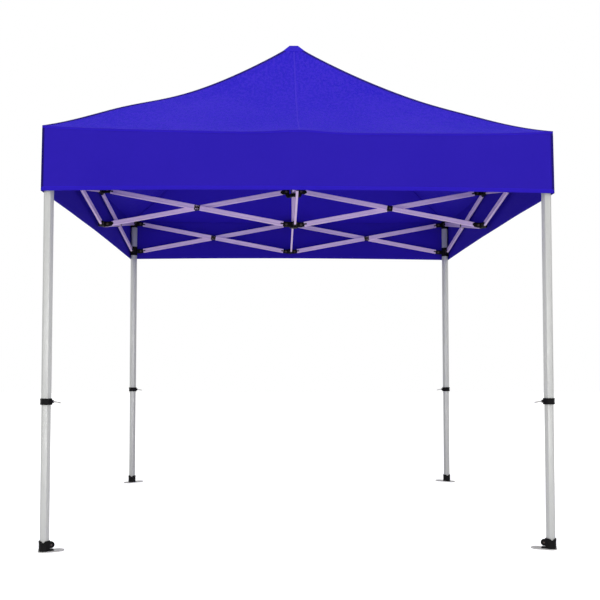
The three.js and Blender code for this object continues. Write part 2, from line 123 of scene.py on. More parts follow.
CORNERS = {"front_left": (-1, -1), "front_right": (1, -1), "back_right": (1, 1), "back_left": (-1, 1)}
SIDES = {
    "front": (0, {-1: "left", 1: "right"}),
    "right": (1, {-1: "front", 1: "back"}),
    "back": (2, {-1: "right", 1: "left"}),
    "left": (3, {-1: "back", 1: "front"}),
}

CHEEK_HALF_HEIGHT = 0.018
HALF_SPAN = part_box("outer_leg_back_right")[1].y - 0.031
UPPER_JOINT_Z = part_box("side_upper_bracket_front")[0].z + CHEEK_HALF_HEIGHT
LOWER_JOINT_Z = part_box("side_lower_bracket_front")[0].z + CHEEK_HALF_HEIGHT
LEG_LUG = 0.062
MID_LUG = 0.040
ARM_LUG = 0.046
HUB_LUG = LEG_LUG + MID_LUG - ARM_LUG

BAR_HEIGHT = 0.035  # of the nylon plugs at a bar's ends, a little slimmer than its tube
BAR_THICKNESS = 0.015
SLEEVE_LENGTH = 0.042
SLEEVE_PROUD = 0.001
GAP = 0.0003
BAR_REACH = HALF_SPAN - LEG_LUG - MID_LUG
BAR_PITCH = hypot(BAR_REACH, UPPER_JOINT_Z - LOWER_JOINT_Z)
BAR_SLOPE = atan2(UPPER_JOINT_Z - LOWER_JOINT_Z, BAR_REACH)
PLANE = BAR_THICKNESS / 2 + SLEEVE_PROUD + GAP / 2

BOLT_RADIUS = 0.004
CHEEK = 0.005
CHEEK_NOSE = 0.016
FORK_HALF_GAP = BAR_THICKNESS / 2 + GAP
OUTER_TUBE_FLATS = 0.051
INNER_TUBE_FLATS = 0.0474
TUBE_WALL = 0.0015
SOCKET_FLATS = 0.062
FOOT_FLATS = 0.059
HEAD_FLATS = 0.056
HUB_RADIUS = 0.031
POLE_RADIUS = 0.016


def move(x, y, z):
    return Matrix.Translation((x, y, z))


def turn(axis, angle):
    return Matrix.Rotation(angle, 4, axis)


ALONG_X = turn("Y", pi / 2)  # takes a shell's own Z to X
ALONG_Y = turn("X", -pi / 2)  # takes a shell's own Z to Y, and its Y to -Z
STANDING = turn("X", pi / 2)  # takes a shell's own Y to Z, and its Z to -Y

# ---- Outlines: each is a function of an inset that returns points in order ----


def circle(radius, segments=32, start=0.0):
    def outline(inset=0.0):
        r = radius - inset
        angles = [start + 2 * pi * k / segments for k in range(segments)]
        return [(r * cos(angle), r * sin(angle)) for angle in angles]

    return outline


def stadium(length, radius, steps=10):
    """Two half circles, round the origin and round a point at `length` along X."""

    def outline(inset=0.0):
        r = radius - inset
        halves = ((length, -pi / 2), (0.0, pi / 2))
        turns = [(centre, start + pi * k / steps) for centre, start in halves for k in range(steps + 1)]
        return [(centre + r * cos(angle), r * sin(angle)) for centre, angle in turns]

    return outline


def polygon(corners, radius, steps=3, cuts=0):
    """A polygon with rounded corners; `cuts` adds points along its straight edges."""
    count = len(corners)

    def inset_corner(index, inset):
        before, here, after = (Vector(corners[(index + k) % count]) for k in (-1, 0, 1))
        d0, d1 = (here - before).normalized(), (after - here).normalized()
        n0, n1 = Vector((-d0.y, d0.x)), Vector((-d1.y, d1.x))
        return here + (n0 + n1) * (inset / (1 + n0.dot(n1)))

    def outline(inset=0.0):
        placed = [inset_corner(k, inset) for k in range(count)]
        r = max(radius - inset, 0.0002)
        arcs = []
        for k in range(count):
            here = placed[k]
            d0 = (placed[k - 1] - here).normalized()
            d1 = (placed[(k + 1) % count] - here).normalized()
            half = acos(max(-1.0, min(1.0, d0.dot(d1)))) / 2
            reach = r / tan(half)
            centre = here + (d0 + d1).normalized() * (r / sin(half))
            first, last = here + d0 * reach - centre, here + d1 * reach - centre
            sweep = first.angle_signed(last)
            arcs.append([
                centre + Matrix.Rotation(-sweep * j / steps, 2) @ first for j in range(steps + 1)
            ])
        points = []
        for k, arc in enumerate(arcs):
            points += arc
            start, end = arc[-1], arcs[(k + 1) % count][0]
            points += [start.lerp(end, j / (cuts + 1)) for j in range(1, cuts + 1)]
        return [(p.x, p.y) for p in points]

    return outline


def rectangle(width, height, radius):
    w, h = width / 2, height / 2
    return polygon([(-w, -h), (w, -h), (w, h), (-w, h)], radius)


def hexagon(flats, radius=0.003, cuts=0):
    """A hexagon with two corners on the X axis, measured across its flats."""
    r = flats / sqrt(3)
    corners = [(r * cos(k * pi / 3), r * sin(k * pi / 3)) for k in range(6)]
    return polygon(corners, radius, cuts=cuts)


# ---- Shells: lists of points and faces ----


def loft(loops, joined=False):
    """Skins equal loops; the two ends are capped, or joined to each other."""
    count = len(loops[0])
    points = [Vector(p) for loop in loops for p in loop]
    faces = []
    for index in range(len(loops) - (0 if joined else 1)):
        a, b = index * count, (index + 1) % len(loops) * count
        for k in range(count):
            n = (k + 1) % count
            faces.append((a + k, a + n, b + n, b + k))
    if not joined:
        faces.append(tuple(reversed(range(count))))
        faces.append(tuple(range(len(points) - count, len(points))))
    return points, faces


def quarter(steps):
    """Angles from 0 to a right angle."""
    return [pi / 2 * k / steps for k in range(steps + 1)]


def level(outline, z, inset=0.0):
    return [(x, y, z) for x, y in outline(inset)]


def rounded_stations(bottom, top, edge, steps=3):
    """Heights and insets of a prism whose two rims are rounded by `edge`."""
    rim = [(edge * (1 - cos(a)), edge * (1 - sin(a))) for a in quarter(steps)]
    low = [(bottom + up, inset) for up, inset in rim]
    return low + [(top - up, inset) for up, inset in reversed(rim)]


def slab(outline, bottom, top, edge):
    """A solid prism along Z with rounded rims."""
    return loft([level(outline, z, inset) for z, inset in rounded_stations(bottom, top, edge)])


def sleeve(outer, inner, bottom, top, edge, stations=None):
    """A hollow prism along Z; `stations` gives the heights and insets of its outside."""
    outside = [level(outer, z, inset) for z, inset in stations or rounded_stations(bottom, top, edge)]
    inside = [level(inner, z, -inset) for z, inset in rounded_stations(bottom, top, edge, 1)]
    return loft(outside + inside[::-1], joined=True)


def punched_plate(outline, holes, thickness, edge):
    """A flat plate with round holes; `holes` lists each centre and radius."""
    curve = bpy.data.curves.new("plate", "CURVE")
    curve.dimensions = "2D"
    curve.fill_mode = "BOTH"
    curve.extrude = thickness / 2 - edge
    curve.bevel_depth = edge
    curve.bevel_resolution = 2
    curve.offset = -edge
    loops = [outline()] + [[(cx + x, cy + y) for x, y in circle(r, 24)()] for cx, cy, r in holes]
    for loop in loops:
        spline = curve.splines.new("POLY")
        spline.points.add(len(loop) - 1)
        for point, (x, y) in zip(spline.points, loop):
            point.co = (x, y, thickness / 2, 1)
        spline.use_cyclic_u = True
    holder = link("plate", curve)
    mesh = bpy.data.meshes.new_from_object(holder.evaluated_get(bpy.context.evaluated_depsgraph_get()))
    shell = [v.co.copy() for v in mesh.vertices], [tuple(p.vertices) for p in mesh.polygons]
    bpy.data.objects.remove(holder)
    bpy.data.curves.remove(curve)
    bpy.data.meshes.remove(mesh)
    return shell


# ---- Pieces ----

SHARP_ANGLE = radians(32)


def start_mesh(name, points, faces, domain, places):
    """A mesh whose points, or corners, know their place in the piece's own material."""
    mesh = bpy.data.meshes.new(name)
    mesh.from_pydata(points, [], faces)
    grain = mesh.attributes.new("grain", "FLOAT_VECTOR", domain)
    grain.data.foreach_set("vector", [c for place in places for c in place])
    return mesh


def open_shape(mesh):
    shape = bmesh.new()
    shape.from_mesh(mesh)
    return shape


def settle(name, shape, mesh, materials):
    """An object from a worked mesh, smooth except at its sharp edges."""
    shape.to_mesh(mesh)
    shape.free()
    mesh.shade_smooth()
    mesh.set_sharp_from_angle(angle=SHARP_ANGLE)
    for material in materials:
        mesh.materials.append(material)
    return link(name, mesh)


class Piece:
    """Gathers shells into one named object that rides on a body of the frame."""

    made = 0

    def __init__(self, name, body, look):
        self.name, self.body = name, body
        self.material, self.slot = look
        self.points, self.faces, self.local = [], [], []
        Piece.made += 1
        self.grain = Vector((Piece.made * 0.377 % 5, Piece.made * 0.713 % 5, Piece.made * 0.191 % 5))

    def add(self, shell, *places):
        place = Matrix.Identity(4)
        for step in places:
            place = place @ step
        points, faces = shell
        first = len(self.points)
        self.points += [place @ p for p in points]
        self.local += [p + self.grain for p in points]
        self.faces += [tuple(first + k for k in face) for face in faces]
        return self

    def finish(self, *nodes):
        mesh = start_mesh(self.name, self.points, self.faces, "POINT", self.local)
        shape = open_shape(mesh)
        bmesh.ops.remove_doubles(shape, verts=shape.verts, dist=1e-6)
        bmesh.ops.recalc_face_normals(shape, faces=shape.faces)
        piece = settle(self.name, shape, mesh, [self.material])
        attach(piece, self.body)
        if nodes:
            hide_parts(*nodes)
        return piece


# ---- Materials: noise is stretched to so many cells per metre along a piece's own axes ----


class Shader:
    """A node material round one Principled BSDF."""

    def __init__(self, name, sockets):
        self.material = bpy.data.materials.new(name)
        self.material.use_nodes = True
        self.tree = self.material.node_tree
        self.bsdf = self.tree.nodes["Principled BSDF"]
        for socket, value in sockets.items():
            self.bsdf.inputs[socket].default_value = value

    def add(self, kind, inputs=(), **settings):
        made = self.tree.nodes.new(kind)
        for key, value in settings.items():
            setattr(made, key, value)
        for key, value in dict(inputs).items():
            self.put(value, made.inputs[key])
        return made

    def put(self, value, socket):
        """Links another node's output, or sets a plain value."""
        if isinstance(value, bpy.types.NodeSocket):
            self.tree.links.new(value, socket)
        else:
            socket.default_value = value

    def grain(self, stretch):
        """The piece's own coordinates in metres, stretched alike or along each of its axes."""
        if not isinstance(stretch, tuple):
            stretch = (stretch,) * 3
        own = self.add("ShaderNodeAttribute", attribute_name="grain").outputs["Vector"]
        return self.add("ShaderNodeVectorMath", {0: own, 1: stretch}, operation="MULTIPLY").outputs[0]

    def noise(self, stretch, detail=3.0, roughness=0.55):
        made = self.add(
            "ShaderNodeTexNoise",
            {"Vector": self.grain(stretch), "Scale": 1.0, "Detail": detail, "Roughness": roughness},
        )
        return made.outputs["Fac"]

    def math(self, operation, a, b=0.0):
        return self.add("ShaderNodeMath", {0: a, 1: b}, operation=operation).outputs[0]

    def times(self, a, b):
        return self.math("MULTIPLY", a, b)

    def spread(self, value, low, high, low_out=0.0, high_out=1.0):
        made = self.add(
            "ShaderNodeMapRange",
            {"Value": value, "From Min": low, "From Max": high, "To Min": low_out, "To Max": high_out},
        )
        return made.outputs[0]

    def mix(self, factor, first, second):
        made = self.add("ShaderNodeMix", {"Factor": factor}, data_type="RGBA")
        self.put(first, made.inputs[6])
        self.put(second, made.inputs[7])
        return made.outputs[2]

    def wire(self, value, socket):
        self.tree.links.new(value, self.bsdf.inputs[socket])

    def bump(self, *layers):
        """Stacks (height, depth in metres) layers into the normal."""
        normal = None
        for height, depth in layers:
            inputs = {"Height": height, "Strength": 1.0, "Distance": depth}
            if normal is not None:
                inputs["Normal"] = normal
            normal = self.add("ShaderNodeBump", inputs).outputs["Normal"]
        self.wire(normal, "Normal")


def shade(colour, factor, blue=None):
    """The colour, darker or lighter; `blue` gives a factor of its own to the blue."""
    return (colour[0] * factor, colour[1] * factor, colour[2] * (blue or factor), 1.0)


THREAD_PITCH = 0.0016
BLOTCH_SHARE, YARN_SHARE = 0.35, 0.16  # of the tone, beside the mottle's own share
BLUE_SPREAD = 0.06


def fabric(name, colour, mottle, stitched=False, grain=85, thread=1.9, pale=1.20, soft=0.28):
    """Woven polyester: crossed threads, streaks of uneven yarn, soft blotches and a faint sheen.
    `mottle` weighs the flecks, of `grain` cells per metre; `pale` is the palest tone, reached more
    gently with a larger `soft`; `thread` is the tone of the stitches.
    """
    made = Shader(f"{name}_polyester", {
        "Roughness": 0.62, "Specular IOR Level": 0.03, "Sheen Weight": 0.008, "Sheen Roughness": 0.45,
        "Sheen Tint": (0.45, 0.42, 1.0, 1.0),
    })
    blotch = made.noise(2.2, 2.0)
    fleck = made.noise(grain, 3.0, 0.6)
    warp = made.noise((900, 25, 1), 2.0)
    weft = made.noise((25, 900, 1), 2.0)
    yarn = made.math("ADD", warp, weft)
    tone = made.math("ADD", made.times(blotch, BLOTCH_SHARE), made.times(fleck, mottle))
    tone = made.math("ADD", tone, made.times(yarn, YARN_SHARE))
    middle = 0.5 * (BLOTCH_SHARE + mottle) + YARN_SHARE
    factor = made.spread(tone, middle - soft, middle + soft)
    base = made.mix(factor, shade(colour, 2 - pale, 1 - BLUE_SPREAD), shade(colour, pale, 1 + BLUE_SPREAD))
    split = made.add("ShaderNodeSeparateXYZ", {0: made.grain(2 * pi / THREAD_PITCH)})
    weave = made.times(made.math("SINE", split.outputs[0]), made.math("SINE", split.outputs[1]))
    layers = [(blotch, 0.004), (fleck, 0.0012 * mottle), (weave, 0.00012)]
    if stitched:
        base = made.mix(stitches(made, layers), base, shade(colour, thread))
    made.wire(base, "Base Color")
    made.wire(made.spread(fleck, 0.3, 0.7, 0.54, 0.70), "Roughness")
    made.bump(*layers)
    return made.material


STITCH_LENGTH = 0.0045
STITCH_WIDTH = 0.0012


def stitches(made, layers):
    """A mask of the two rows of stitches that run along a seam, whose UV is in metres from its centre."""
    uv = made.add("ShaderNodeSeparateXYZ", {0: made.add("ShaderNodeUVMap").outputs[0]})
    along, across = uv.outputs[0], uv.outputs[1]
    row = made.spread(made.math("ABSOLUTE", across), 0, STITCH_WIDTH, 1, 0)
    beat = made.math("FRACT", made.math("DIVIDE", along, STITCH_LENGTH))
    dash = made.spread(made.math("ABSOLUTE", made.math("SUBTRACT", beat, 0.5)), 0.32, 0.42, 1, 0)
    mask = made.times(row, dash)
    layers.append((mask, 0.0004))
    return made.times(mask, 0.55)


def painted_metal(name, colour, metallic, roughness, grime):
    """Coated tube: fine drawing lines along its length, faint orange peel and handling marks."""
    made = Shader(name, {"Metallic": metallic, "Specular IOR Level": 0.5, "Coat Weight": 0.15,
                         "Coat Roughness": 0.25})
    lines = made.noise((3, 1800, 1800), 2.0)
    peel = made.noise(260, 2.0)
    marks = made.noise((9, 40, 40), 5.0, 0.65)
    worn = made.spread(marks, 0.52, 0.74)
    tint = made.mix(made.spread(lines, 0.35, 0.65), shade(colour, 0.95), shade(colour, 1.03))
    made.wire(made.mix(made.times(worn, grime), tint, shade(colour, 0.72)), "Base Color")
    made.wire(made.spread(marks, 0.3, 0.75, roughness - 0.06, roughness + 0.14), "Roughness")
    made.bump((lines, 0.00003), (peel, 0.00005))
    return made.material


def moulded_nylon(name, colour):
    """Black moulded nylon: fine spark texture with paler scuffs."""
    made = Shader(name, {"Specular IOR Level": 0.12})
    spark = made.noise(1400, 2.0)
    scuff = made.noise(60, 6.0, 0.7)
    worn = made.spread(scuff, 0.55, 0.78)
    scuffed = made.mix(made.times(worn, 0.5), shade(colour, 1.0), shade(colour, 3.0))
    made.wire(scuffed, "Base Color")
    made.wire(made.spread(scuff, 0.3, 0.7, 0.42, 0.62), "Roughness")
    made.bump((spark, 0.00006), (scuff, 0.00008))
    return made.material


def plated_steel(name, colour, stain, metallic):
    """Plated steel: spangle, brushing and a little tarnish."""
    made = Shader(name, {"Metallic": metallic})
    spangle = made.add("ShaderNodeTexVoronoi", {"Vector": made.grain(170), "Scale": 1.0})
    brush = made.noise((60, 1500, 60), 3.0)
    tarnish = made.noise(45, 5.0, 0.65)
    flakes = made.spread(spangle.outputs["Distance"], 0, 0.8)
    tint = made.mix(flakes, shade(colour, 1.12), shade(colour, 0.86))
    dull = made.times(made.spread(tarnish, 0.5, 0.75), 0.6)
    made.wire(made.mix(dull, tint, stain), "Base Color")
    made.wire(made.spread(tarnish, 0.3, 0.7, 0.28, 0.50), "Roughness")
    made.bump((brush, 0.00004), (tarnish, 0.00006))
    return made.material


FABRIC_BLUE = (0.0245, 0.0108, 0.455)
# The valance's blue is the roof's blue with its blue channel lowered: painted shade for the hanging valance,
# on both of its faces.
SHADED_VALANCE_BLUE = (0.0245, 0.0112, 0.395)
# A paler blue for the middle seams and the eave piping: a painted highlight for the light their raised cloth
# catches.
HIGHLIGHT_BLUE = (0.040, 0.020, 0.49)
BINDING_BLUE = (0.0135, 0.0070, 0.16)
ROOF = fabric("roof", FABRIC_BLUE, 1.5, grain=(56, 23, 56), pale=1.42, soft=0.135)
SHADED_VALANCE = fabric("valance", SHADED_VALANCE_BLUE, 0.22)
LINING = fabric("lining", FABRIC_BLUE, 0.3)
SEAM = fabric("seam", FABRIC_BLUE, 0.3, stitched=True)
HIGHLIGHT_SEAM = fabric("highlight_seam", HIGHLIGHT_BLUE, 0.3, stitched=True, thread=1.15)
BINDING = fabric("binding", BINDING_BLUE, 0.3, stitched=True, thread=1.3)
LEG_METAL = painted_metal("leg_aluminium", (0.585, 0.59, 0.578), 0.30, 0.36, 0.25), "aluminium"
# Bar paint, near white in itself; its lilac tint is painted blue bounce light from the fabric. The pole
# wears it too.
BAR_PAINT_AND_PAINTED_BOUNCE = painted_metal("bar_paint_and_painted_bounce", (0.80, 0.60, 0.90), 0.0, 0.42, 0.35), "bar_metal"
NYLON = moulded_nylon("black_nylon", (0.0045, 0.0042, 0.005)), "nylon"
STEEL = plated_steel("zinc_steel", (0.62, 0.61, 0.60), (0.30, 0.28, 0.26, 1), 0.55), "steel"
DARK_STEEL = plated_steel("dark_steel", (0.075, 0.055, 0.05), (0.05, 0.032, 0.025, 1), 0.5), "steel"

# ---- Fastenings ----

WASHER_RADIUS, WASHER_THICKNESS = 0.0095, 0.001
BOLT_HEAD = hexagon(0.0135, 0.0006)
BOLT_EDGE = 0.0003
NUT = circle(0.0042, 20)
WASHER = slab(circle(WASHER_RADIUS, 24), 0, WASHER_THICKNESS, BOLT_EDGE)
HEAD_STATIONS = ((0.0, 0.0), (0.0022, 0.0), (0.003, 0.0006), (0.0035, 0.0022))
DOME_STATIONS = ((0.003, 0.0), (0.0045, 0.0003), (0.0054, 0.0012), (0.0058, 0.0026))
HEAD = loft([level(BOLT_HEAD, z, inset) for z, inset in HEAD_STATIONS])
NUT_DOME = loft([level(NUT, z, inset) for z, inset in DOME_STATIONS])


def add_bolt(piece, half_length, *places):
    """A bolt along Z through the origin: a washer and head at each end, and a dome on the nut's end."""
    piece.add(slab(circle(BOLT_RADIUS, 20), -half_length, half_length, BOLT_EDGE), *places)
    for up in (1, -1):
        flip = turn("X", 0 if up > 0 else pi)
        seat = [*places, flip, move(0, 0, half_length)]
        piece.add(WASHER, *seat)
        piece.add(HEAD, *seat, move(0, 0, WASHER_THICKNESS))
    piece.add(NUT_DOME, *places, turn("X", pi), move(0, 0, half_length))


# ---- Scissor bars ----

TUBE_HEIGHT, TUBE_THICKNESS = 0.0372, 0.0162
ARM_TUBE_HEIGHT, ARM_TUBE_THICKNESS = 0.0348, 0.0149  # of the bars that fold into the upper hub's forks
TUBE_CORNER = 0.0032
TUBE_INSET = 0.024  # pin to the straight cut end of the tube
TUBE_RIM, TUBE_RIM_SHARE = 0.0004, 0.97
GROOVE_HALF, GROOVE_SLOPE, GROOVE_DEPTH = 0.0045, 0.0025, 0.0009
PLUG_EDGE, PLUG_OVERLAP = 0.0025, 0.004
SLEEVE_BAND, SLEEVE_RIDGE, SLEEVE_EDGE = 0.007, 0.0004, 0.0006
SLEEVE_GRIP = 0.0002  # how much the sleeve bites into the tube


def tube_section(height, thickness):
    """Round a bar's tube: a rounded rectangle with a shallow groove along each broad face."""
    w, h, r = thickness / 2, height / 2, TUBE_CORNER
    side = [(h - r + r * sin(a), w - r + r * cos(a)) for a in reversed(quarter(4))]
    groove = [(GROOVE_HALF + GROOVE_SLOPE, w), (GROOVE_HALF, w - GROOVE_DEPTH)]
    right = side + groove + [(-y, x) for y, x in reversed(groove)] + [(-y, x) for y, x in reversed(side)]
    return [(x, y) for y, x in right] + [(-x, -y) for y, x in right]


def tube_shell(height, thickness):
    """The aluminium tube of a bar, along X from its first pin."""
    section = tube_section(height, thickness)
    start, end, rim, least = TUBE_INSET, BAR_PITCH - TUBE_INSET, TUBE_RIM, TUBE_RIM_SHARE
    stations = ((start, least), (start + rim, 1.0), (end - rim, 1.0), (end, least))
    return loft([[(x, y * scale, z * scale) for y, z in section] for x, scale in stations])


TUBE_SHELL = tube_shell(TUBE_HEIGHT, TUBE_THICKNESS)
ARM_TUBE_SHELL = tube_shell(ARM_TUBE_HEIGHT, ARM_TUBE_THICKNESS)
PLUG = stadium(TUBE_INSET + PLUG_OVERLAP, BAR_HEIGHT / 2, 12)
PLUG_SHELL = slab(PLUG, -BAR_THICKNESS / 2, BAR_THICKNESS / 2, PLUG_EDGE)


def sleeve_shell():
    """The nylon sleeve round a bar's middle, with a raised band at each end."""
    half = SLEEVE_LENGTH / 2
    outer = rectangle(TUBE_HEIGHT + 2 * SLEEVE_PROUD, BAR_THICKNESS + 2 * SLEEVE_PROUD, 0.004)
    inner = rectangle(TUBE_HEIGHT - SLEEVE_GRIP, TUBE_THICKNESS - SLEEVE_GRIP, 0.003)
    side = [(half, SLEEVE_RIDGE), (half - SLEEVE_EDGE, 0.0)]
    side += [(half - SLEEVE_BAND, 0.0), (half - SLEEVE_BAND - 0.001, SLEEVE_RIDGE)]
    stations = [(-z, inset) for z, inset in side] + side[::-1]
    return sleeve(outer, inner, -half, half, 0.0, stations)


SLEEVE_SHELL = sleeve_shell()


def add_bar(name, place, carries_bolt, shell=TUBE_SHELL):
    """A bar along +X from the pin at its origin; its partner lies on its +Y side."""
    tube = Piece(f"{name}_tube", name, BAR_PAINT_AND_PAINTED_BOUNCE)
    tube.add(shell, place).finish(name)
    middle = place @ move(BAR_PITCH / 2, 0, 0)
    nylon = Piece(f"{name}_plugs", name, NYLON)
    nylon.add(SLEEVE_SHELL, middle, ALONG_X)
    for end in (place, place @ move(BAR_PITCH, 0, 0) @ turn("Y", pi)):
        nylon.add(PLUG_SHELL, end, STANDING)
    nylon.finish()
    if carries_bolt:
        bolt = Piece(f"{name}_crossing_bolt", name, DARK_STEEL)
        half = PLANE + BAR_THICKNESS / 2 + SLEEVE_PROUD + GAP / 2
        add_bolt(bolt, half, middle, move(0, PLANE, 0), ALONG_Y)
        bolt.finish()


# ---- Forks and brackets ----


def cheek_shell(root, pin):
    """One cheek of a fork that reaches along +X, drawn in the XY plane, with a round nose."""
    angles = [-pi / 2 + pi * k / 8 for k in range(9)]
    nose = [(pin + CHEEK_NOSE * cos(a), CHEEK_HALF_HEIGHT * sin(a)) for a in angles]
    corners = [(root, -CHEEK_HALF_HEIGHT), *nose, (root, CHEEK_HALF_HEIGHT)]
    return slab(polygon(corners, 0.0004, 1), -CHEEK / 2, CHEEK / 2, 0.0009)


BOSS_OUTER, BOSS_INNER, BOSS_PROUD = 0.0125, 0.0098, 0.0012
BOSS = sleeve(circle(BOSS_OUTER, 28), circle(BOSS_INNER, 28), 0, BOSS_PROUD, 0.0004)
RIB_WIDTH, RIB_LEAST = 0.004, 0.006
HAIR = 0.0002  # how far a moulded detail is sunk into its cheek, or a washer stands off it


def bracket_pieces(name, body):
    """The nylon of a bracket, and its bolts."""
    return Piece(f"{name}_body", body, NYLON), Piece(f"{name}_bolts", body, DARK_STEEL)


def add_fork(nylon, bolts, place, plane, pin, roots):
    """Two cheeks either side of `plane`, with a moulded ring round the bolt on each, and a rib behind it.
    `roots` gives where each cheek starts, for its offset across the fork.
    """
    for side in (-1, 1):
        middle = plane + side * (FORK_HALF_GAP + CHEEK / 2)
        root = roots(middle)
        face = place @ move(0, middle, 0)
        nylon.add(cheek_shell(root, pin), face, STANDING)
        out, rise = turn("X", -side * pi / 2), move(0, 0, CHEEK / 2 - HAIR)
        nylon.add(BOSS, face, move(pin, 0, 0), out, rise)
        rib_length = pin - BOSS_OUTER - 0.0005 - root
        if rib_length > RIB_LEAST:
            rib = slab(rectangle(rib_length, RIB_WIDTH, 0.0015), 0, BOSS_PROUD, 0.0005)
            nylon.add(rib, face, move(root + rib_length / 2, 0, 0), out, rise)
    add_bolt(bolts, FORK_HALF_GAP + CHEEK + HAIR, place, move(pin, plane, 0), ALONG_Y)


MID_SPARE = 0.003  # between the bracket's core and the round end of a bar
MID_TOP = 0.022  # of the core, above its pins
CHEEK_ROOT = 0.004  # how deep a cheek starts inside the core


def add_side_bracket(name, place, truss_plane, arm_plane):
    """Seen from the hub: the truss runs along X at `truss_plane`, the inner arm along +Y."""
    half_width = MID_LUG - BAR_HEIGHT / 2 - MID_SPARE
    half_depth = PLANE + FORK_HALF_GAP + CHEEK
    nylon, bolts = bracket_pieces(name, name)
    core = slab(rectangle(2 * half_width, 2 * half_depth, 0.004), -CHEEK_HALF_HEIGHT, MID_TOP, 0.003)
    nylon.add(core, place)
    start = half_width - CHEEK_ROOT
    for angle, plane in ((0, truss_plane), (pi, -truss_plane)):
        add_fork(nylon, bolts, place @ turn("Z", angle), plane, MID_LUG, lambda offset: start)
    reach = half_depth - CHEEK_ROOT
    add_fork(nylon, bolts, place @ turn("Z", pi / 2), -arm_plane, ARM_LUG, lambda offset: reach)
    nylon.finish(name)
    bolts.finish()


def hex_reach(flats, offset, along_corner):
    """How far a hexagon with corners on X reaches along X, or along Y, at an offset across."""
    r = flats / sqrt(3)
    if along_corner:
        return r - abs(offset) / sqrt(3)
    return min(flats / 2, sqrt(3) * (r - abs(offset)))


def add_corner_forks(nylon, bolts, place, sx, sy, plane):
    """The two forks of a leg's nylon piece; bars lie `plane` outwards of the leg's axis."""
    wall_flats = (HEAD_FLATS + OUTER_TUBE_FLATS) / 2
    for along_corner, heading, outwards in (
        (True, 0 if sx < 0 else pi, sy * -sx),
        (False, pi / 2 if sy < 0 else -pi / 2, -sx * -sy),
    ):
        add_fork(
            nylon, bolts, place @ turn("Z", heading), outwards * plane, LEG_LUG,
            lambda offset, corner=along_corner: hex_reach(wall_flats, offset, corner),
        )


# ---- Legs ----

CAP_BOTTOM, CAP_TOP = 2.348, 2.415
OUTER_TUBE_BOTTOM, OUTER_TUBE_TOP = 0.836, 2.400
INNER_TUBE_BOTTOM, INNER_TUBE_TOP = 0.0093, 1.150
SLIDER_HALF_HEIGHT = 0.040
COLLAR_BOTTOM, COLLAR_TOP = 0.832, 0.868
RIM_EDGE, RIM_BAND, RIM_DEPTH = 0.0015, 0.008, 0.0008  # raised bands of the cap and the slider
HEAD_OUTLINE = hexagon(HEAD_FLATS, 0.005)
CAP_RIM = 0.004  # the cap's hollow part ends this much above the tube
LOCK_Z = 0.850
LOCK_BOSS_WIDTH, LOCK_BOSS_START, LOCK_BOSS_END = 0.018, 0.028, 0.042
LOCK_NUT_RADIUS, LOCK_NUT_START, LOCK_NUT_END = 0.0055, 0.0424, 0.045
RING_CENTRE, RING_OUTER, RING_INNER, RING_THICKNESS = 0.064, 0.021, 0.0155, 0.0045
RING_DROOP = radians(12)
LOCK_PIN_RADIUS, LOCK_PIN_TIP = 0.003, 0.0278


def banded(bottom, top, edge, band, depth):
    """Heights and insets of an outside with a raised band at each rim."""
    low = [(bottom, edge), (bottom + edge, 0), (bottom + band, 0), (bottom + band + depth, depth)]
    high = [(bottom + top - z, inset) for z, inset in low[::-1]]
    return low + high


def upright(shell):
    """The same shell lying along X, so that the grain of a drawn tube runs along its length."""
    points, faces = shell
    return [ALONG_X @ p for p in points], faces


def add_tube(node, body, look, shell, *places):
    tube = Piece(f"{node}_tube", body, look)
    tube.add(upright(shell), *places, turn("Y", -pi / 2)).finish(node)


def add_leg_tube(node, body, flats, bottom, top, axis):
    shell = sleeve(hexagon(flats), hexagon(flats - 2 * TUBE_WALL), bottom, top, 0.0005)
    add_tube(node, body, LEG_METAL, shell, axis)


def circle_like_rectangle(radius):
    """A circle with as many points as a rounded rectangle, for a round bore in a square boss."""
    count = len(rectangle(1, 1, 0.1)())
    return circle(radius, count, -pi * 0.75 - pi / count)


def add_collar(corner, leg, axis, inwards):
    collar = Piece(f"lock_collar_{corner}", leg, NYLON)
    rim = banded(COLLAR_BOTTOM, COLLAR_TOP, 0.0015, 0.009, 0.001)
    fit = hexagon(OUTER_TUBE_FLATS + GAP)
    collar.add(sleeve(hexagon(SOCKET_FLATS, 0.005), fit, COLLAR_BOTTOM, COLLAR_TOP, 0.001, rim), axis)
    lip_outer, lip_inner = hexagon(OUTER_TUBE_FLATS + 0.004), hexagon(INNER_TUBE_FLATS + 0.001)
    collar.add(sleeve(lip_outer, lip_inner, COLLAR_BOTTOM, OUTER_TUBE_BOTTOM - 0.0002, 0.0005), axis)
    square = rectangle(LOCK_BOSS_WIDTH, LOCK_BOSS_WIDTH, 0.004)
    bore = circle_like_rectangle(LOCK_PIN_RADIUS + GAP)
    collar.add(sleeve(square, bore, LOCK_BOSS_START, LOCK_BOSS_END, 0.0015), inwards, ALONG_X)
    collar.finish()


def add_lock_pin(name, inwards):
    pin = Piece(f"{name}_ring", name, STEEL)
    shank_end = RING_CENTRE - RING_INNER - 0.002
    pin.add(slab(circle(LOCK_PIN_RADIUS, 20), LOCK_PIN_TIP, shank_end, 0.0006), inwards, ALONG_X)
    pin.add(slab(circle(LOCK_NUT_RADIUS, 20), LOCK_NUT_START, LOCK_NUT_END, 0.0006), inwards, ALONG_X)
    half = RING_THICKNESS / 2
    pin.add(sleeve(circle(RING_OUTER, 48), circle(RING_INNER, 48), -half, half, 0.0007),
            inwards, move(shank_end, 0, 0), turn("Y", RING_DROOP), move(RING_CENTRE - shank_end, 0, 0))
    pin.finish(name)


def add_leg_bracket(name, body, shells, joint, sx, sy, plane):
    """The nylon piece with two forks at the top of a leg, or the one that slides on it."""
    nylon, bolts = bracket_pieces(name, body)
    for shell, place in shells:
        nylon.add(shell, place)
    add_corner_forks(nylon, bolts, joint, sx, sy, plane)
    nylon.finish(name)
    bolts.finish()


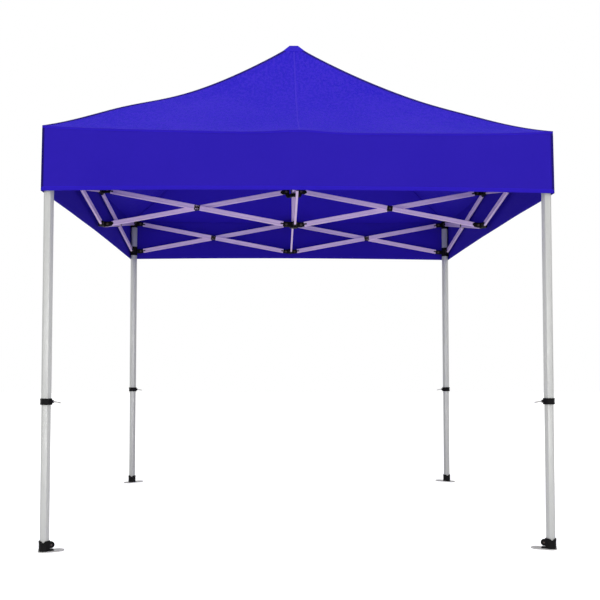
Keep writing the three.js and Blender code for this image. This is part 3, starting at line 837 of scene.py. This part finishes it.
def banded_head(bottom, top, clearance):
    """A hexagonal nylon tube round the outer leg, with a raised band at each rim."""
    rim = banded(bottom, top, RIM_EDGE, RIM_BAND, RIM_DEPTH)
    return sleeve(HEAD_OUTLINE, hexagon(OUTER_TUBE_FLATS + clearance), bottom, top, RIM_EDGE, rim)


def add_leg(corner, sx, sy):
    axis = move(sx * HALF_SPAN, sy * HALF_SPAN, 0)
    upper, lower = axis @ move(0, 0, UPPER_JOINT_Z), axis @ move(0, 0, LOWER_JOINT_Z)
    leg, slider = f"leg_{corner}", f"leg_slider_{corner}"
    wall = banded_head(CAP_BOTTOM, OUTER_TUBE_TOP + CAP_RIM, 2 * GAP)
    lid = slab(HEAD_OUTLINE, OUTER_TUBE_TOP + 0.001, CAP_TOP, 0.004)
    add_leg_bracket(f"top_bracket_{corner}", leg, [(wall, axis), (lid, axis)], upper, sx, sy, -PLANE)
    wall = banded_head(-SLIDER_HALF_HEIGHT, SLIDER_HALF_HEIGHT, 4 * GAP)
    add_leg_bracket(slider, slider, [(wall, lower)], lower, sx, sy, PLANE)
    inwards = axis @ move(0, 0, LOCK_Z) @ turn("Z", 0 if sx < 0 else pi)
    add_leg_tube(f"outer_leg_{corner}", leg, OUTER_TUBE_FLATS, OUTER_TUBE_BOTTOM, OUTER_TUBE_TOP, axis)
    add_collar(corner, leg, axis, inwards)
    add_lock_pin(f"lock_pin_{corner}", inwards)
    inner = f"inner_leg_{corner}"
    add_leg_tube(inner, inner, INNER_TUBE_FLATS, INNER_TUBE_BOTTOM, INNER_TUBE_TOP, axis)
    add_foot(corner, inner, axis, sx, sy)


# ---- Feet ----

PLATE_RADIUS, PLATE_THICKNESS = 0.040, 0.005
PLATE_INNER_END = 0.072
PLATE_OUTER_END = {-1: 0.004, 1: -0.040}  # at the front the plate stops under its socket
PLATE_TURN = {-1: radians(25), 1: radians(40)}
STAKE_HOLE_RADIUS, STAKE_HOLE_INSET = 0.007, 0.020
FOOT_HEIGHT, FOOT_FLOOR, FOOT_SOLE = 0.063, 0.009, 0.0012
FOOT_WALL_MIDDLE = 0.0268
FOOT_STEP_TOP, FOOT_STEP = 0.017, 0.001  # the socket is thicker up to here
NOTCH_REACH = 0.017 / sqrt(2)
NOTCH_FADE = 0.042
LUG_TURN = {-1: 0.0, 1: radians(50)}
LUG_CENTRE, LUG_LEVEL, LUG_RADIUS, LUG_HALF_WIDTH = 0.037, 0.036, 0.019, 0.011
RIVET_RADIUS = 0.0055
PAD_REACH, PAD_HALF_WIDTH, PAD_TOP = 0.052, 0.020, 0.011


def notched_socket():
    """The hexagonal socket, whose rim dips in a V at the front and at the back."""
    outer, inner = hexagon(FOOT_FLATS, 0.005, 15), hexagon(INNER_TUBE_FLATS + 2 * GAP, 0.003, 15)
    rim = rounded_stations(FOOT_SOLE, FOOT_HEIGHT, 0.0015)
    step = [(FOOT_STEP_TOP - 0.002, 0), (FOOT_STEP_TOP, FOOT_STEP), (NOTCH_FADE, FOOT_STEP)]
    outside = rim[:4] + step + rim[4:]
    points, faces = sleeve(outer, inner, FOOT_SOLE, FOOT_HEIGHT, 0.001, outside)
    for p in points:
        if p.z > NOTCH_FADE:
            share = (p.z - NOTCH_FADE) / (FOOT_HEIGHT - NOTCH_FADE)
            p.z -= share * max(0.0, NOTCH_REACH - abs(p.x))
    return points, faces


LUG = stadium(LUG_CENTRE, LUG_RADIUS, 12)
PAD = polygon([(0.0, -PAD_HALF_WIDTH), (PAD_REACH, -PAD_HALF_WIDTH), (PAD_REACH, PAD_HALF_WIDTH),
               (0.0, PAD_HALF_WIDTH)], 0.006)


def clear_of_bore(shell):
    """The same shell, drawn out from the socket's wall instead of from the leg's axis."""
    points, faces = shell
    return [Vector((max(p.x, FOOT_WALL_MIDDLE), p.y, p.z)) for p in points], faces


def add_foot(corner, body, axis, sx, sy):
    turned = axis @ turn("Z", PLATE_TURN[sy] if sx < 0 else pi - PLATE_TURN[sy])
    outer_end = PLATE_OUTER_END[sy]
    plate = Piece(f"foot_{corner}_plate", body, STEEL)
    holes = [(PLATE_INNER_END + STAKE_HOLE_INSET - outer_end, 0, STAKE_HOLE_RADIUS)]
    if outer_end < 0:
        holes.append((-STAKE_HOLE_INSET, 0, STAKE_HOLE_RADIUS))
    outline = stadium(PLATE_INNER_END - outer_end, PLATE_RADIUS, 20)
    plate.add(punched_plate(outline, holes, PLATE_THICKNESS, 0.0008), turned, move(outer_end, 0, 0))
    plate.finish(f"foot_{corner}")
    socket = Piece(f"foot_{corner}_socket", body, NYLON)
    socket.add(notched_socket(), axis)
    socket.add(slab(hexagon(INNER_TUBE_FLATS + 0.004), PLATE_THICKNESS - 0.001, FOOT_FLOOR, 0.0005), axis)
    towards = turned @ turn("Z", LUG_TURN[sy] * -sx)
    lug = slab(LUG, -LUG_HALF_WIDTH, LUG_HALF_WIDTH, 0.003)
    socket.add(clear_of_bore(lug), towards, move(0, 0, LUG_LEVEL), STANDING)
    socket.add(clear_of_bore(slab(PAD, PLATE_THICKNESS - 0.001, PAD_TOP, 0.002)), towards)
    socket.finish()
    rivets = Piece(f"foot_{corner}_rivet", body, DARK_STEEL)
    for side in (-1, 1):
        rivet = slab(circle(RIVET_RADIUS, 20), 0, 0.002, 0.001)
        rivets.add(rivet, towards, move(LUG_CENTRE, 0, LUG_LEVEL), turn("X", side * pi / 2),
                   move(0, 0, LUG_HALF_WIDTH - 0.0003))
    rivets.finish()


# ---- Hubs and peak pole ----

HUB_FLOOR, HUB_BOTTOM = UPPER_JOINT_Z - 0.018, UPPER_JOINT_Z - 0.044
POLE_BOTTOM, POLE_TOP = LOWER_JOINT_Z - 0.020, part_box("peak_pole")[1].z
NEST_RADIUS = 0.0325  # kept free over the upper hub's body for the pole's cap
HUB_HEIGHT = UPPER_JOINT_Z - HUB_BOTTOM
LOWER_HUB_BOTTOM, LOWER_HUB_TOP, LOWER_HUB_ROOT = LOWER_JOINT_Z - 0.026, LOWER_JOINT_Z + 0.018, 0.024
ROUND = 48
GUSSET = polygon([
    (0.022, -HUB_HEIGHT), (HUB_LUG - 0.004, -HUB_HEIGHT), (HUB_LUG + 0.012, -0.012),
    (0.034, -0.012), (0.034, -0.019), (0.022, -0.019),
], 0.0006, 1)  # a web under each cheek, round the nest


def add_hubs():
    upper, upper_bolts = bracket_pieces("hub_upper", "hub")
    body = circle(HUB_RADIUS, ROUND)
    upper.add(sleeve(body, circle(POLE_RADIUS + 2 * GAP, ROUND), HUB_BOTTOM, HUB_FLOOR, 0.0015))
    lower, lower_bolts = bracket_pieces("hub_lower", "hub_lower")
    lower.add(sleeve(body, circle(POLE_RADIUS + GAP, ROUND), LOWER_HUB_BOTTOM, LOWER_HUB_TOP, 0.0015))
    lower.add(slab(circle(POLE_RADIUS + 0.004, ROUND), LOWER_HUB_BOTTOM + 0.001, POLE_BOTTOM - GAP, 0.0005))
    for turns in range(4):
        spin = turn("Z", turns * pi / 2)
        above, below = move(0, 0, UPPER_JOINT_Z) @ spin, move(0, 0, LOWER_JOINT_Z) @ spin
        add_fork(upper, upper_bolts, above, -PLANE, HUB_LUG, lambda offset: NEST_RADIUS)
        for side in (-1, 1):
            offset = -PLANE + side * (FORK_HALF_GAP + CHEEK / 2)
            web = slab(GUSSET, -CHEEK / 2, CHEEK / 2, 0.0005)
            upper.add(web, above, move(0, offset, 0), STANDING)
        add_fork(lower, lower_bolts, below, PLANE, HUB_LUG, lambda offset: LOWER_HUB_ROOT)
    upper.finish("hub_upper")
    upper_bolts.finish()
    lower.finish("hub_lower")
    lower_bolts.finish()


POLE_CAP_RADIUS, POLE_CAP_THICKNESS, POLE_CAP_CURVE = 0.030, 0.008, 0.022
POLE_WALL = 0.0016


def add_pole():
    cap_bottom = POLE_TOP - POLE_CAP_THICKNESS
    bore = circle(POLE_RADIUS - POLE_WALL, ROUND)
    tube = sleeve(circle(POLE_RADIUS, ROUND), bore, POLE_BOTTOM, cap_bottom, 0.0004)
    add_tube("peak_pole", "hub_lower", BAR_PAINT_AND_PAINTED_BOUNCE, tube)
    cap = Piece("peak_pole_cap", "hub_lower", NYLON)
    brim, rise = cap_bottom + 0.0035, POLE_CAP_THICKNESS - 0.0035
    dome = [(cap_bottom, 0.001), (cap_bottom + 0.001, 0), (brim, 0)]
    dome += [(brim + rise * sin(a), POLE_CAP_CURVE * (1 - cos(a))) for a in quarter(6)[1:]]
    cap.add(loft([level(circle(POLE_CAP_RADIUS, ROUND), z, inset) for z, inset in dome])).finish()


# ---- Fabric cover ----

COVER_HALF = 1.4835
EAVE_Z, PEAK_Z, PEAK_HALF = 2.408, 3.495, 0.031
RIDGE_SAG, PANEL_SAG = 0.090, 0.024
CORNER_LIFT, MIDDLE_LIFT = 0.018, 0.016
MIDDLE_SPREAD, PUCKER_SPREAD = 0.12, 0.05  # along a side
PEAK_DIP, RIDGE_FULLNESS, LEFT_FULLNESS = 0.012, 0.008, 0.040
RIDGE_BULGE, LEFT_BULGE = (0.13, 0.72), (0.235, 0.76)  # width and centre, down a ridge
CREASE_DEPTH, FINE_CREASE_DEPTH, PUCKER_DEPTH = 0.0045, 0.0018, 0.0022
VALANCE_BOTTOM_Z = 2.060
HEM_ARCH = 0.012  # how much higher the hem hangs in the middle of a side
VALANCE_FLARE, VALANCE_WAVE, VALANCE_BELLY = 0.003, 0.0035, 0.0025
COVER_THICKNESS = 0.0012
SIDE_STEPS = 112
ALONG_STEPS = [-1 + 2 * k / SIDE_STEPS for k in range(SIDE_STEPS + 1)]
ROOF_RINGS = 80
VALANCE_ROWS = 22


def bell(value, width, centre=0.0):
    return exp(-(((value - centre) / width) ** 2))


def roof_height(ring, along):
    """Height where `ring` runs from 0 at the peak patch to 1 at the eave, `along` a side from -1 to 1."""
    up = 1 - ring
    lift = CORNER_LIFT * along**6 + MIDDLE_LIFT * bell(along, MIDDLE_SPREAD)
    sag = RIDGE_SAG + PANEL_SAG * (1 - along**2)
    dip = PEAK_DIP * (1 - exp(-ring / 0.02)) * exp(-ring / 0.45)
    full = RIDGE_FULLNESS * along**8 * bell(ring, *RIDGE_BULGE)
    return EAVE_Z + (PEAK_Z - EAVE_Z) * up - sag * 4 * up * ring + lift * ring**9 - dip * up + full


def left_fullness(x, y, ring):
    """The front left ridge is fuller than the others above its lower half."""
    towards = max(0.0, (-x - y) / hypot(x, y) / sqrt(2))
    return LEFT_FULLNESS * bell(ring, *LEFT_BULGE) * towards**8


def crease(x, y, along, ring):
    """Small unevenness of cloth under tension: long soft puckers that run down the slope."""
    run = Vector((along * 5.5, ring * 1.1, round(atan2(y, x) * 2 / pi) * 3.7))
    fade = min(1.0, 6 * ring) * min(1.0, 7 * (1 - abs(along)) + 0.25) * min(1.0, 8 * (1 - ring) + 0.15)
    pucker = PUCKER_DEPTH * bell(along, PUCKER_SPREAD) * noise.noise(Vector((ring * 26, 4.2, 0)))
    uneven = CREASE_DEPTH * noise.noise(run) + FINE_CREASE_DEPTH * noise.noise(run * 3.1)
    return fade * uneven + pucker * min(1, 6 * ring)


def roof_half(ring):
    """Half the width of a roof panel."""
    return PEAK_HALF + (COVER_HALF - PEAK_HALF) * ring


def on_side(x, y, side):
    """A point of the front side, on the side that lies so many quarter turns further on."""
    for _ in range(side):
        x, y = -y, x
    return x, y


def roof_point(side, along, ring):
    half = roof_half(ring)
    x, y = on_side(along * half, -half, side)
    z = roof_height(ring, along) + left_fullness(x, y, ring) + crease(x, y, along, ring)
    return Vector((x, y, z))


def valance_point(side, along, down):
    """`down` runs from 0 at the eave to 1 at the hem."""
    top = roof_point(side, along, 1.0)
    uneven = noise.noise(Vector((along * 3.1 + side * 9, down * 0.7, 2)))
    wave = VALANCE_WAVE * down * (1 - along**6) * (0.6 + uneven)
    belly = VALANCE_BELLY * sin(pi * down) * (1 - along**4)
    out = VALANCE_FLARE * down + wave + belly
    x, y = on_side(along * (COVER_HALF + VALANCE_FLARE * down), -(COVER_HALF + out), side)
    hem = VALANCE_BOTTOM_Z + HEM_ARCH * (1 - along**2)
    return Vector((x, y, top.z + (hem - top.z) * down))


# ---- How the fabric folds with the frame ----

FOLD_ANGLE = radians(77.4)
HUB_DROP = BAR_PITCH * (sin(BAR_SLOPE + FOLD_ANGLE) - sin(BAR_SLOPE))
PLEATS = 7
PLEAT_LAG = 0.085  # share of a leg's way in that the crest of a pleat stays behind
PLEAT_DRIFT, UNEVEN_LAG, HEM_LAG = 0.9, 0.55, 0.16
FOLDED_Z = 2.431  # roof fabric on the folded frame
FOLD_SWELL = 0.105
ROOF_FOLDS = 4.5
FOLLOWED = [f"leg_{corner}" for corner in CORNERS] + ["hub_lower"]


def follow(side, along, down, point):
    """How far a point of the cover follows each leg, and the pole on the lower hub, as the frame folds."""
    drift = PLEAT_DRIFT * sin(pi * along) * cos(side)
    wave = 0.5 - 0.5 * cos(pi * PLEATS * (along + 1) + drift)
    wave *= min(1.0, 12 * (1 - abs(along)))
    uneven = noise.noise(Vector((side * 7 + along * 4.3, down * 1.4, 0.5)))
    lag = PLEAT_LAG * wave * (1 + UNEVEN_LAG * uneven) * (0.55 + 0.45 * min(1.0, down))
    lag *= 1 + HEM_LAG * max(0.0, down - 1)
    u = max(-1.0, min(1.0, point.x / HALF_SPAN))
    v = max(-1.0, min(1.0, point.y / HALF_SPAN))
    shares = [(1 + sx * u) * (1 + sy * v) / 4 * (1 - lag) for sx, sy in CORNERS.values()]
    sink = 0.0
    if down < 1:
        phase = ROOF_FOLDS * down + 0.7 * noise.noise(Vector((point.x * 2.1, point.y * 2.1, 3.3)))
        swell = (0.5 - 0.5 * cos(2 * pi * phase)) * (0.45 + 0.55 * wave * (1 + uneven))
        sink = max(0.0, point.z - FOLDED_Z - FOLD_SWELL * swell) / HUB_DROP
    return shares + [min(1.0, sink)]


# ---- Fabric pieces ----


def cover_point(side, along, down):
    """`down` runs from 0 at the peak patch over 1 at the eave to 2 at the hem."""
    if down <= 1:
        return roof_point(side, along, down)
    return valance_point(side, along, down - 1)


def cover_normal(side, along, down):
    step = 0.002
    base = down if down >= 1 + step or down <= 1 - step else (1 + step if down > 1 else 1 - step)
    across = cover_point(side, min(1, along + step), base) - cover_point(side, max(-1, along - step), base)
    fall = cover_point(side, along, min(2, base + step)) - cover_point(side, along, max(0, base - step))
    return fall.cross(across).normalized()


ROOF_SLANT = hypot(COVER_HALF - PEAK_HALF, PEAK_Z - EAVE_Z)
VALANCE_DEPTH = EAVE_Z - VALANCE_BOTTOM_Z


def weave_place(side, along, down):
    """Where a point lies in its own panel's cloth, in metres."""
    if down <= 1:
        return Vector((along * roof_half(down), down * ROOF_SLANT, side * 3.1))
    return Vector((along * COVER_HALF, (down - 1) * VALANCE_DEPTH, side * 3.1 + 1.3))


class Cloth:
    """Gathers grids of fabric points into one thin piece that folds with the frame."""

    def __init__(self, name, *materials):
        self.name, self.materials = name, materials
        self.points, self.follows, self.faces, self.corners, self.slots = [], [], [], [], []

    def grid(self, rows, material=0):
        """An entry of a row is (point, follow shares, place in the weave, place along and across a seam)."""
        width = len(rows[0])
        first = len(self.points)
        entries = [entry for row in rows for entry in row]
        self.points += [entry[0] for entry in entries]
        self.follows += [entry[1] for entry in entries]
        for row in range(len(rows) - 1):
            for k in range(width - 1):
                here, below = row * width + k, (row + 1) * width + k
                face = [here, below, below + 1, here + 1]
                self.faces.append([first + corner for corner in face])
                self.corners += [entries[corner][2:] for corner in face]
                self.slots.append(material)

    def finish(self, thickness, inside=0):
        """The inner face takes the material that lies `inside` places further on in the list."""
        weave = [place for place, _ in self.corners]
        mesh = start_mesh(self.name, self.points, self.faces, "CORNER", weave)
        seam = mesh.uv_layers.new(name="seam")
        seam.data.foreach_set("uv", [c for _, place in self.corners for c in place])
        mesh.polygons.foreach_set("material_index", self.slots)
        shape = open_shape(mesh)
        weights = shape.verts.layers.deform.verify()
        for vert, shares in zip(shape.verts, self.follows):
            for group, share in enumerate(shares):
                vert[weights][group] = share
        bmesh.ops.remove_doubles(shape, verts=shape.verts, dist=1e-5)
        piece = settle(self.name, shape, mesh, self.materials)
        for body in FOLLOWED:
            piece.vertex_groups.new(name=body)
            hook = piece.modifiers.new(f"follow_{body}", "HOOK")
            hook.object = bpy.data.objects[f"body:{body}"]
            hook.vertex_group = body
            hook.falloff_type = "NONE"
            hook.matrix_inverse = Matrix.Identity(4)
        thick = piece.modifiers.new("thickness", "SOLIDIFY")
        thick.thickness = thickness
        thick.offset = -1
        thick.material_offset = inside
        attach(piece, "hub")
        return piece


NO_SEAM = (0.0, 1.0)


def sheet_entry(side, along, down):
    point = cover_point(side, along, down)
    return point, follow(side, along, down, point), weave_place(side, along, down), NO_SEAM


def add_sheet():
    # The valance's material, on both faces, is the darker blue of painted shade.
    sheet = Cloth("canopy_cover_sheet", ROOF, SHADED_VALANCE, LINING, SHADED_VALANCE)
    for side in range(4):
        roof_levels = [ring / ROOF_RINGS for ring in range(ROOF_RINGS + 1)]
        roof = [[sheet_entry(side, along, down) for along in ALONG_STEPS] for down in roof_levels]
        sheet.grid(roof)
        levels = [1 + row / VALANCE_ROWS for row in range(1, VALANCE_ROWS + 1)]
        hang = [[sheet_entry(side, along, down) for along in ALONG_STEPS] for down in levels]
        sheet.grid([roof[-1]] + hang, 1)
        edge = roof[0]
        peak = Vector((0, 0, roof_height(0, 0)))
        patch = []
        for level_share in (0.0, 0.25, 0.5, 0.75, 1.0):
            row = []
            for point, _, weave, seam in edge:
                spot = peak.lerp(point, level_share)
                row.append((spot, follow(side, 0, 0, spot), weave * level_share, seam))
            patch.append(row)
        sheet.grid(patch)
    return sheet.finish(COVER_THICKNESS, 2)


SEAM_RISE = 0.0007
SEAM_SINK = 0.0001
SEAM_ROW = 0.003  # a row of stitches from the seam's edge
SEAM_STEP = 0.03


def seam_entry(side, along, down, rise, length, across, normal=None):
    point = cover_point(side, along, down)
    lifted = point + (normal or cover_normal(side, along, down)) * rise
    return lifted, follow(side, along, down, point), weave_place(side, along, down), (length, across)


def profile(half):
    """Offsets across a seam, with how high each lies and how far it is from a row of stitches."""
    row = half - SEAM_ROW
    offsets = [-half, -half + 0.001, -row, 0.0, row, half - 0.001, half]
    rises = [SEAM_SINK, SEAM_RISE, SEAM_RISE * 0.8, SEAM_RISE * 1.3, SEAM_RISE * 0.8, SEAM_RISE, SEAM_SINK]
    return [(offset, rise, abs(offset) - row) for offset, rise in zip(offsets, rises)]


def seam_run(side, along, start, end):
    """Steps down a panel or a valance: how far down, the length so far, and the half width there."""
    extent = VALANCE_DEPTH if end > 1 else ROOF_SLANT * (1 + 0.2 * along)
    steps = max(2, int((end - start) * extent / SEAM_STEP))
    length, before = 0.0, None
    for k in range(steps + 1):
        down = start + (end - start) * k / steps
        here = cover_point(side, along, down)
        length += (here - before).length if before else 0.0
        before = here
        yield down, length, roof_half(min(1.0, down))


def add_down_seam(cloth, side, half, start, end, material):
    """A seam down the middle of a panel."""
    cloth.grid([
        [seam_entry(side, offset / width, down, rise, length, across)
         for offset, rise, across in profile(half)]
        for down, length, width in seam_run(side, 0.0, start, end)
    ], material)


def add_corner_seam(cloth, side, half, start, end, material):
    """A seam that wraps the edge between a side and the next one, on the roof or on the valance."""
    after = (side + 1) % 4
    rows = []
    for down, length, width in seam_run(side, 1, start, end):
        crest = (cover_normal(side, 1, down) + cover_normal(after, -1, down)).normalized()
        row = []
        for offset, rise, across in profile(half):
            if offset < 0:
                row.append(seam_entry(side, 1 + offset / width, down, rise, length, across))
            elif offset > 0:
                row.append(seam_entry(after, -1 + offset / width, down, rise, length, across))
            else:
                row.append(seam_entry(side, 1, down, rise * 1.3, length, across, crest))
        rows.append(row)
    cloth.grid(rows, material)


def add_band(cloth, side, lines, material):
    """A band along a side; for each line `lines` gives how far down it runs, its rise and its stitches."""
    cloth.grid([
        [seam_entry(side, along, down, rise, along * COVER_HALF, across)
         for down, rise, across in reversed(lines)]
        for along in ALONG_STEPS
    ], material)


def band_lines(line, *entries):
    """Lines of a band round `line`. Each entry is how many metres further down it runs, its rise as a
    share of a seam's, or 0 for an edge sunk into the cloth, and how far it is from a row of stitches.
    """
    return [
        (line + run / (VALANCE_DEPTH if line + run > 1 else ROOF_SLANT),
         SEAM_RISE * share if share else SEAM_SINK, across)
        for run, share, across in entries
    ]


EAVE_BAND, HEM_DEPTH, PATCH_END = 0.012, 0.024, 0.035
HEM_LINES = band_lines(
    2.0, (-HEM_DEPTH, 0, -SEAM_ROW), (0.0008 - HEM_DEPTH, 1, 0.0008 - SEAM_ROW),
    (SEAM_ROW - HEM_DEPTH, 0.8, 0.0), (-HEM_DEPTH / 2, 1.6, HEM_DEPTH / 2 - SEAM_ROW),
    (-0.001, 1, HEM_DEPTH - SEAM_ROW), (0.0, 0, HEM_DEPTH),
)
EAVE_LINES = band_lines(
    1.0, (-EAVE_BAND, 0, SEAM_ROW), (0.001 - EAVE_BAND, 1, SEAM_ROW - 0.001),
    (SEAM_ROW - EAVE_BAND, 0.8, 0.0), (-0.0015, 1.2, 0.0075), (0.0015, 1.2, 0.0075),
    (EAVE_BAND - SEAM_ROW, 0.8, 0.0), (EAVE_BAND - 0.001, 1, 0.002), (EAVE_BAND, 0, 0.003),
)
PIPING_LINES = band_lines(
    1.0, (-0.003, 1, 0.003), (-0.002, 2.2, 0.004), (0.001, 2.2, 0.005), (0.002, 1, 0.006),
)
PATCH_LINES = [(0.0, SEAM_RISE * 2, 0.05)] + band_lines(
    PATCH_END, (-SEAM_ROW, 1.8, 0.0), (-0.001, 2, 0.002), (0.0, 0, 0.003),
)
PANEL_SEAM, ROOF_BINDING, VALANCE_BINDING = 0.0045, 0.024, 0.013  # half widths
PANEL_SEAM_START, BINDING_START = 0.04, 0.01  # how far down the roof they start


def add_seams():
    seams = Cloth("canopy_cover_seams", SEAM, HIGHLIGHT_SEAM, BINDING)
    for side in range(4):
        # Slot 1, on the middle seams and the eave piping, is the paler blue of a painted highlight.
        add_down_seam(seams, side, PANEL_SEAM, PANEL_SEAM_START, 1.0, 1)
        add_corner_seam(seams, side, ROOF_BINDING, BINDING_START, 1.0, 2)
        add_corner_seam(seams, side, VALANCE_BINDING, 1.0, 2.0, 2)
        for lines, material in ((EAVE_LINES, 0), (PIPING_LINES, 1), (HEM_LINES, 0), (PATCH_LINES, 0)):
            add_band(seams, side, lines, material)
    return seams.finish(0.0004)


def add_cover():
    sheet = add_sheet()
    seams = add_seams()
    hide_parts("canopy_cover")


# ---- Assembly ----


def add_side(name, turns, halves):
    """Each side is drawn as the front one, with its truss along X, and turned about the hub."""
    spin = turn("Z", turns * pi / 2)
    for end, height, plane in (("upper", UPPER_JOINT_Z, -PLANE), ("lower", LOWER_JOINT_Z, PLANE)):
        place = spin @ move(0, -HALF_SPAN, height)
        add_side_bracket(f"side_{end}_bracket_{name}", place, plane, -plane)
    for half, end in halves.items():
        heading = 0 if half > 0 else pi
        upper = spin @ move(half * MID_LUG, -HALF_SPAN - PLANE, UPPER_JOINT_Z)
        lower = spin @ move(half * MID_LUG, -HALF_SPAN + PLANE, LOWER_JOINT_Z)
        add_bar(f"side_falling_bar_{name}_{end}", upper @ turn("Y", heading + half * BAR_SLOPE), True)
        add_bar(f"side_rising_bar_{name}_{end}", lower @ turn("Y", heading - half * BAR_SLOPE), False)
    arm = spin @ turn("Z", -pi / 2)
    upper, lower = arm @ move(HUB_LUG, -PLANE, UPPER_JOINT_Z), arm @ move(HUB_LUG, PLANE, LOWER_JOINT_Z)
    add_bar(f"inner_falling_bar_{name}", upper @ turn("Y", BAR_SLOPE), True, ARM_TUBE_SHELL)
    add_bar(f"inner_rising_bar_{name}", lower @ turn("Y", -BAR_SLOPE), False)


for side_name, (side_turns, side_halves) in SIDES.items():
    add_side(side_name, side_turns, side_halves)
for corner_name, (corner_sx, corner_sy) in CORNERS.items():
    add_leg(corner_name, corner_sx, corner_sy)
add_hubs()
add_pole()
add_cover()

# ---- Floor and light ----

FLOOR_SIZE, FLOOR_Z = 60, -0.0008
FLOOR_GLOW = 0.6
AMBIENT = 0.66


def camera_rays(tree):
    return tree.nodes.new("ShaderNodeLightPath").outputs["Is Camera Ray"]


def make_floor():
    """Pale paper whose glow only evens out the picture, and lights nothing."""
    made = Shader("floor", {"Roughness": 0.9, "Specular IOR Level": 0.1, "Base Color": (0.9, 0.9, 0.9, 1),
                            "Emission Color": (1, 1, 1, 1)})
    made.wire(made.times(camera_rays(made.tree), FLOOR_GLOW), "Emission Strength")
    half = FLOOR_SIZE / 2
    mesh = bpy.data.meshes.new("floor")
    corners = [(x * half, y * half, FLOOR_Z) for x, y in ((-1, -1), (1, -1), (1, 1), (-1, 1))]
    mesh.from_pydata(corners, [], [(0, 1, 2, 3)])
    mesh.materials.append(made.material)
    link("floor", mesh)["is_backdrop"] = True


def make_world():
    """A white backdrop, and a softer even light from it."""
    world = bpy.data.worlds.new("studio")
    world.use_nodes = True
    tree = world.node_tree
    background = tree.nodes["Background"]
    background.inputs["Color"].default_value = (1, 1, 1, 1)
    level = tree.nodes.new("ShaderNodeMapRange")
    tree.links.new(camera_rays(tree), level.inputs["Value"])
    level.inputs["To Min"].default_value = AMBIENT
    level.inputs["To Max"].default_value = 1.0
    tree.links.new(level.outputs[0], background.inputs["Strength"])
    bpy.context.scene.world = world


def add_light(name, place, target, size, power):
    data = bpy.data.lights.new(name, "AREA")
    data.shape = "RECTANGLE"
    data.size, data.size_y = size
    data.energy = power
    light = link(name, data)
    light.location = place
    light.rotation_euler = (Vector(target) - Vector(place)).to_track_quat("-Z", "Y").to_euler()


make_floor()
make_world()
add_light("left", (-6.5, -5.5, 4.2), (0, 0, 1.6), (4, 4), 40)
add_light("right", (6.5, -5.5, 4.2), (0, 0, 1.6), (4, 4), 40)
add_light("front", (0.0, -8.5, 0.7), (0, 0, 2.4), (7, 1.2), 110)
add_light("top", (0.0, -2.5, 8.0), (0, 0, 2.4), (6, 6), 235)
bpy.context.scene.view_settings.view_transform = "Standard"

boxes = {"cad": cad_box, "visual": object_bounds()}
{name: [list(corner) for corner in box] for name, box in boxes.items()}
